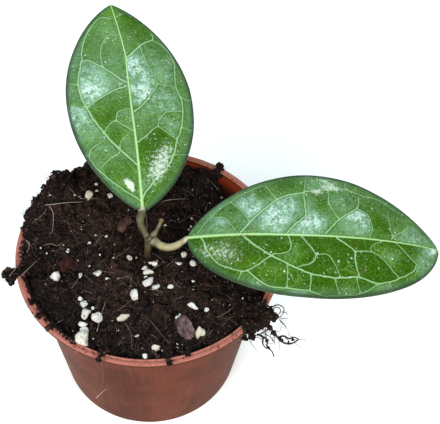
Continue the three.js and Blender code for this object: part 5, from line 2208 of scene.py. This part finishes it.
LEAF_BACK = Leaf(
    node="leaf_back",
    base=(-2.4, -0.7, 23.7),
    heading=(93.0, 101.0),
    slope=(16.0, 5.5),
    roll=5.5,
    length=102.0,
    half_width=(25.1, 26.0),
    fullness=(0.75, 0.76),
    drift=((0, 0), (0.45, 0), (0.6, -0.4), (0.7, -1.2), (0.78, -1.0), (0.88, -0.6), (1, 0)),
    veins=(
        (0.25, (0.19, 0.04), (0.26, 0.31), (0.34, 0.51), (0.46, 0.69), (0.53, 0.77), (0.61, 0.8)),
        (0.2, (0.61, 0.8), (0.7, 0.78), (0.78, 0.83), (0.88, 0.83), (0.93, 0.67), (0.92, 0.13)),
        (0.22, (0.55, 0.03), (0.53, 0.27), (0.5, 0.49), (0.47, 0.68)),
        (0.22, (0.57, 0.02), (0.65, 0.37), (0.7, 0.65), (0.7, 0.78)),
        (0.16, (0.65, 0.37), (0.72, 0.42), (0.78, 0.39), (0.82, 0.26), (0.82, 0.04)),
        (0.18, (0.34, 0.02), (0.37, 0.18), (0.39, 0.28), (0.38, 0.38), (0.34, 0.52)),
        (0.16, (0.39, 0.28), (0.43, 0.23), (0.445, 0)),
        (0.17, (0.04, 0.02), (0.09, 0.6), (0.18, 0.88), (0.26, 0.88), (0.31, 0.53)),
        (0.14, (0.26, 0.31), (0.3, 0.25), (0.33, 0.1)), (0.16, (0.25, 0.33), (0.19, 0.81)),
        (0.24, (0.05, -0.03), (0.09, -0.26), (0.17, -0.59), (0.23, -0.7), (0.3, -0.73), (0.39, -0.81),
         (0.48, -0.82)),
        (0.2, (0.48, -0.82), (0.57, -0.78), (0.68, -0.91), (0.75, -0.92), (0.8, -0.78)),
        (0.24, (0.7, -0.08), (0.77, -0.47), (0.8, -0.78), (0.83, -0.87)),
        (0.18, (0.75, -0.39), (0.69, -0.39), (0.62, -0.44), (0.57, -0.48), (0.55, -0.45)),
        (0.22, (0.43, -0.04), (0.47, -0.22), (0.55, -0.45)), (0.17, (0.56, -0.47), (0.55, -0.78)),
        (0.17, (0.56, 0), (0.58, -0.17), (0.62, -0.27)),
        (0.18, (0.29, -0.03), (0.32, -0.2), (0.36, -0.38), (0.34, -0.5), (0.3, -0.73)),
        (0.14, (0.36, -0.38), (0.39, -0.41), (0.41, -0.39)),
        (0.16, (0.39, -0.41), (0.43, -0.56), (0.44, -0.82)), (0.16, (0.92, 0.03), (0.95, -0.64)),
        (0.12, (0.5, -0.82), (0.49, -0.99)), (0.12, (0.36, -0.79), (0.35, -0.99)),
        (0.12, (0.23, -0.7), (0.24, -0.99)), (0.12, (0.58, 0.8), (0.6, 0.99)),
        (0.12, (0.47, 0.7), (0.49, 0.99)), (0.12, (0.34, 0.88), (0.4, 0.99)),
    ),
    residue=table(
        Spot,
        (0.115, 0.37, 0.018, 0.1, 1.6), (0.1, 0.29, 0.02, 0.09, 1.9), (0.17, -0.42, 0.075, 0.3, 0.95),
        (0.25, -0.55, 0.05, 0.2, 0.6), (0.24, 0.47, 0.025, 0.1, 0.4), (0.68, 0.95, 0.012, 0.07, 0.9),
        (0.68, -0.8, 0.035, 0.13, 0.55), (0.61, -0.98, 0.02, 0.05, 0.6), (0.56, 0.12, 0.04, 0.1, 0.5),
        (0.92, 0.38, 0.02, 0.3, 0.35), (0.86, -0.4, 0.05, 0.4, 0.25), (0.5, 0.6, 0.09, 0.28, 0.25),
        (0.57, -0.22, 0.08, 0.25, 0.22),
    ),
    plain_sheen=(0.3, 0.25),
    sheen_patches=table(
        SheenPatch,
        (0.54, 0.62, 8.5, 1.1), (0.63, 0.7, 6, 0.7), (0.43, 0.88, 9, 0.75), (0.66, 0.95, 9, 0.2),
        (0.52, -0.22, 7, 1.1), (0.65, -0.12, 7, 1.1), (0.48, 0.3, 8, 0.1), (0.72, 0.35, 7, 0),
        (0.6, -0.36, 6, 0.75), (0.47, -0.58, 9, 0.55), (0.62, -0.62, 8, 0.5), (0.66, 0.22, 8, 0.3),
        (0.78, 0.58, 9, 0.1), (0.84, -0.3, 9, 0.1), (0.22, 0.48, 7, 0.5), (0.14, -0.4, 9, 0.6),
        (0.29, -0.32, 8, -0.75), (0.2, -0.15, 6, -0.2), (0.4, 0.45, 8, -0.25), (0.32, 0.35, 7, -0.1),
        (0.17, 0.4, 7, 0), (0.94, 0.4, 10, -0.2), (0.92, -0.45, 10, -0.5), (0.36, -0.62, 6, 0.45),
        (0.1, -0.8, 12, 0), (0.18, 0.9, 12, 0.35),
    ),
    lush=table(
        Spot,
        (0.93, 0.1, 0.09, 0.6, 0.8), (0.78, 0.1, 0.05, 0.3, 0.35), (0.35, 0.2, 0.1, 0.5, 0.2),
    ),
)

LEAF_RIGHT = Leaf(
    node="leaf_right",
    base=(14.5, -4.6, 11.3),
    heading=(-14.8, 6.5),
    slope=(25.0, -27.8),
    roll=5.6,
    length=102.5,
    half_width=(30.0, 25.0),
    fullness=(0.61, 0.63),
    veins=(
        (0.25, (0.21, 0.04), (0.26, 0.3), (0.33, 0.55), (0.38, 0.64), (0.45, 0.69), (0.56, 0.76)),
        (0.19, (0.56, 0.76), (0.63, 0.81), (0.7, 0.8), (0.78, 0.88), (0.85, 0.82)),
        (0.22, (0.38, 0.03), (0.41, 0.16), (0.45, 0.31), (0.45, 0.52), (0.45, 0.69)),
        (0.14, (0.45, 0.69), (0.46, 0.93)), (0.22, (0.52, 0.03), (0.58, 0.27), (0.66, 0.51), (0.68, 0.72)),
        (0.18, (0.58, 0.27), (0.55, 0.47), (0.55, 0.72)),
        (0.18, (0.66, 0.51), (0.7, 0.44), (0.71, 0.24), (0.69, 0.03)),
        (0.18, (0.04, 0.16), (0.08, 0.63), (0.15, 0.82), (0.28, 0.91)),
        (0.16, (0.15, 0.82), (0.21, 0.43), (0.24, 0.25)), (0.16, (0.08, 0.63), (0.14, 0.42), (0.19, 0.08)),
        (0.18, (0.34, 0.59), (0.29, 0.89)), (0.18, (0.78, 0.05), (0.85, 0.33), (0.91, 0.63), (0.96, 0.29)),
        (0.14, (0.79, 0.09), (0.79, 0.4), (0.8, 0.62)),
        (0.24, (0.22, -0.04), (0.26, -0.2), (0.32, -0.37), (0.38, -0.49), (0.46, -0.63), (0.54, -0.69)),
        (0.2, (0.54, -0.69), (0.63, -0.69), (0.7, -0.8), (0.77, -0.79), (0.85, -0.7), (0.87, -0.55)),
        (0.17, (0.87, -0.55), (0.82, -0.15), (0.79, 0)),
        (0.22, (0.56, -0.02), (0.62, -0.24), (0.62, -0.44), (0.63, -0.67)),
        (0.17, (0.62, -0.24), (0.69, -0.25), (0.73, -0.38), (0.79, -0.77)),
        (0.18, (0.43, 0), (0.48, -0.32), (0.46, -0.47), (0.42, -0.53)),
        (0.14, (0.48, -0.32), (0.53, -0.34), (0.565, -0.69)),
        (0.19, (0.06, -0.06), (0.09, -0.5), (0.13, -0.72), (0.19, -0.76), (0.24, -0.71), (0.33, -0.36)),
        (0.18, (0.24, -0.71), (0.3, -0.87), (0.38, -0.89), (0.45, -0.89), (0.51, -0.96)),
        (0.14, (0.51, -0.96), (0.63, -0.94), (0.7, -0.82)), (0.16, (0.46, -0.63), (0.46, -0.87)),
        (0.13, (0.38, -0.5), (0.38, -0.88)), (0.13, (0.54, -0.69), (0.56, -0.93)),
        (0.13, (0.22, -0.74), (0.21, -0.96)), (0.12, (0.62, -0.69), (0.63, -0.93)),
        (0.12, (0.74, -0.8), (0.76, -0.98)), (0.17, (0.385, 0), (0.39, -0.27), (0.33, -0.36)),
        (0.14, (0.69, -0.25), (0.69, -0.14), (0.745, 0)), (0.12, (0.62, 0.81), (0.64, 0.99)),
        (0.12, (0.8, 0.87), (0.83, 0.99)),
    ),
    residue=table(
        Spot,
        (0.5, 0.7, 0.035, 0.07, 1), (0.57, 0.8, 0.05, 0.07, 1.1), (0.54, 0.91, 0.055, 0.05, 0.85),
        (0.972, -0.2, 0.01, 0.12, 2), (0.44, 0.86, 0.01, 0.03, 1), (0.975, -0.2, 0.018, 0.3, 1),
        (0.79, 0.5, 0.03, 0.1, 0.5), (0.76, -0.35, 0.04, 0.14, 0.35), (0.15, -0.45, 0.08, 0.32, 0.65),
        (0.36, 0.33, 0.06, 0.22, 0.32), (0.52, 0.3, 0.05, 0.2, 0.28), (0.07, -0.6, 0.04, 0.4, 0.4),
        (0.9, -0.55, 0.06, 0.4, 0.35),
    ),
    sheen_patches=table(
        SheenPatch,
        (0.25, 0.58, 7.5, 1.15), (0.33, 0.28, 6.5, 1.2), (0.38, 0.48, 6, 0.8), (0.46, 0.22, 7, 1.15),
        (0.38, 0.86, 7, -0.3), (0.65, 0.32, 7, 1), (0.6, 0.55, 6, 0.45), (0.51, 0.5, 6, 0.1),
        (0.12, 0.45, 8, 0.7), (0.1, 0.75, 9, 0.5), (0.06, 0.2, 6, 0.4), (0.2, 0.25, 6, 0.3),
        (0.74, 0.3, 7, -0.3), (0.8, 0.6, 7, 0.1), (0.87, 0.25, 7, 0.6), (0.92, 0.45, 7, 0.55),
        (0.5, 0.86, 9, 0.4), (0.3, 0.8, 9, 0.1), (0.76, -0.33, 6, 0.3), (0.9, -0.7, 9, 0.5),
        (0.58, -0.94, 9, 0.45), (0.42, -0.95, 9, 0.45), (0.74, -0.94, 9, 0.5), (0.27, -0.93, 9, 0.4),
        (0.15, -0.48, 8, 0.3), (0.38, -0.34, 6, 0.2), (0.95, -0.15, 6, 0.7),
    ),
    plain_sheen=(0.25, -0.6),
    rib_scale=1.2,
    lush=table(
        Spot,
        (0.33, -0.62, 0.06, 0.15, 0.35), (0.6, 0.15, 0.06, 0.2, 0.3),
    ),
    soiled=table(
        Spot,
        (0.225, -0.04, 0.02, 0.04, 1), (0.25, 0.11, 0.018, 0.05, 0.9), (0.17, -0.16, 0.03, 0.06, 0.7),
        (0.17, -0.45, 0.06, 0.25, 0.6), (0.62, -0.61, 0.012, 0.06, 1), (0.65, -0.57, 0.012, 0.05, 0.8),
        (0.46, 0.26, 0.015, 0.06, 0.8), (0.63, -0.16, 0.015, 0.06, 0.7),
    ),
)

PLUM_BARK = BarkSkin("bark_plum", (0.20, 0.128, 0.132), (0.045, 0.026, 0.028))
RED_BARK = BarkSkin("bark_red", (0.062, 0.014, 0.009), (0.014, 0.005, 0.004))
BROWN_BARK = BarkSkin("bark_brown", (0.15, 0.085, 0.068), (0.05, 0.024, 0.020))
BARK_CHIPS = (
    BarkChip("bark_chip_front", 12.2, -37.0, (10.4, 6.8, 4.2), -62, 10, PLUM_BARK),
    BarkChip("bark_chip_left", -32.0, -9.8, (7.0, 4.8, 3.6), 50, -14, RED_BARK),
    BarkChip("bark_chip_back", -9.7, 9.4, (9.4, 4.2, 2.9), 58, 12, BROWN_BARK),
)


# The studio


@dataclass
class Studio:
    """A pale floor, soft lights and the camera, all placed in millimetres."""

    camera_place: Row = (0.0, -189.2, 336.4)
    camera_right: Row = (0.99587, -0.07179, 0.05565)
    camera_up: Row = (0.02127, 0.77991, 0.62552)
    clip: Span = (0.01, 20.0)
    lens: float = 65.4545
    sensor: float = 36.0
    floor_radius: float = 2500.0
    aim: Row = (15.0, 20.0, 90.0)

    def _camera(self) -> None:
        """Stands the camera where the pot is seen from above its front."""
        data = bpy.data.cameras.new("camera")
        data.lens, data.sensor_width, data.sensor_fit = self.lens, self.sensor, "HORIZONTAL"
        data.clip_start, data.clip_end = self.clip
        right, up = Vector(self.camera_right).normalized(), Vector(self.camera_up)
        back = right.cross(up).normalized()
        turn = Matrix((right, back.cross(right), back)).transposed()
        camera = linked("camera", data)
        camera.matrix_world = Matrix.Translation(Vector(self.camera_place) * MM) @ turn.to_4x4()
        bpy.context.scene.camera = camera

    def _floor(self) -> None:
        """Lays a pale matte floor under the pot."""
        ring = around(self.floor_radius, full_turn(96), 0.0)
        numbers = 1 + np.arange(len(ring))
        spokes = np.stack([0 * numbers, numbers, np.roll(numbers, -1)], -1)
        floor = linked("floor", Shape(np.concatenate([[[0, 0, 0.0]], ring]), spokes))
        g = Graph("pale_floor", Roughness=0.8, Specular_IOR_Level=0.1, Emission_Strength=0.27)
        g.set("Base Color", g.mix(g.noise(300.0, 2.0), (0.88, 0.88, 0.87), (0.92, 0.92, 0.915)))
        g.set("Emission Color", g.mix(g.noise(400.0, 1.0), (0.98, 0.98, 0.98), (1.0, 1.0, 1.0)))
        floor.data.materials.append(g.material)
        floor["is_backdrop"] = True

    def _light(self, name: str, place: Row, size: Span, power: float, tint: Colour) -> None:
        """Hangs a rectangular soft light that faces the plant.

        Args:
            name: name of the light.
            place: where it hangs, in millimetres.
            size: its width and height in millimetres.
            power: in watts.
            tint: its colour.
        """
        data = bpy.data.lights.new(name, "AREA")
        data.shape, data.size, data.size_y = "RECTANGLE", size[0] * MM, size[1] * MM
        data.energy, data.color = power, tint
        light = linked(name, data)
        light.location = Vector(place) * MM
        ray = Vector(self.aim) * MM - light.location
        light.rotation_mode = "QUATERNION"
        light.rotation_quaternion = ray.to_track_quat("-Z", "Y")

    def build(self) -> None:
        """Sets up the floor, the lights and the camera."""
        self._camera()
        self._floor()
        self._light("window", (-40, 640, 960), (620, 380), 4.6, (0.55, 0.85, 1.0))
        self._light("front_left", (-650, -900, 1000), (1000, 800), 22.0, (1.0, 0.98, 0.95))
        self._light("front_right", (800, -800, 900), (900, 700), 12.0, (1.0, 0.98, 0.95))
        scene = bpy.context.scene
        world = bpy.data.worlds.new("studio")
        scene.world = world
        world.use_nodes = True
        background = world.node_tree.nodes["Background"].inputs
        background["Color"].default_value = (0.95, 0.98, 1.0, 1.0)
        background["Strength"].default_value = 0.15
        scene.view_settings.view_transform = "Standard"


def corners(box: tuple[Vector, Vector]) -> list[list[float]]:
    """Turns a box's two corners into plain lists."""
    return [[float(n) for n in corner] for corner in box]


def main() -> None:
    """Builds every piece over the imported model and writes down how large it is."""
    logging.basicConfig(level=logging.INFO, format="%(message)s")
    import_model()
    cad_box = corners(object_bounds())
    pot = Pot.from_frame()
    pot.build(PotPlastic())
    fill = PottingMixFill(pot)
    mix = PottingMix().material()
    fill.build(mix)
    clods = Clods(fill)
    clods.build(mix)
    PerliteGrains(fill).build(clods, Perlite())
    Fibres(clods).build(Coir())
    for chip in BARK_CHIPS:
        chip.build(fill)
    Stem(pot).build(StalkSkin())
    skin = LeafSkin().material()
    for leaf in (LEAF_BACK, LEAF_RIGHT):
        leaf.build(pot, skin)
    Studio().build()
    visual_box = corners(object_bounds())
    LOG.info("box of the model %s, of the dressed plant %s", cad_box, visual_box)


if __name__ == "__main__":
    main()
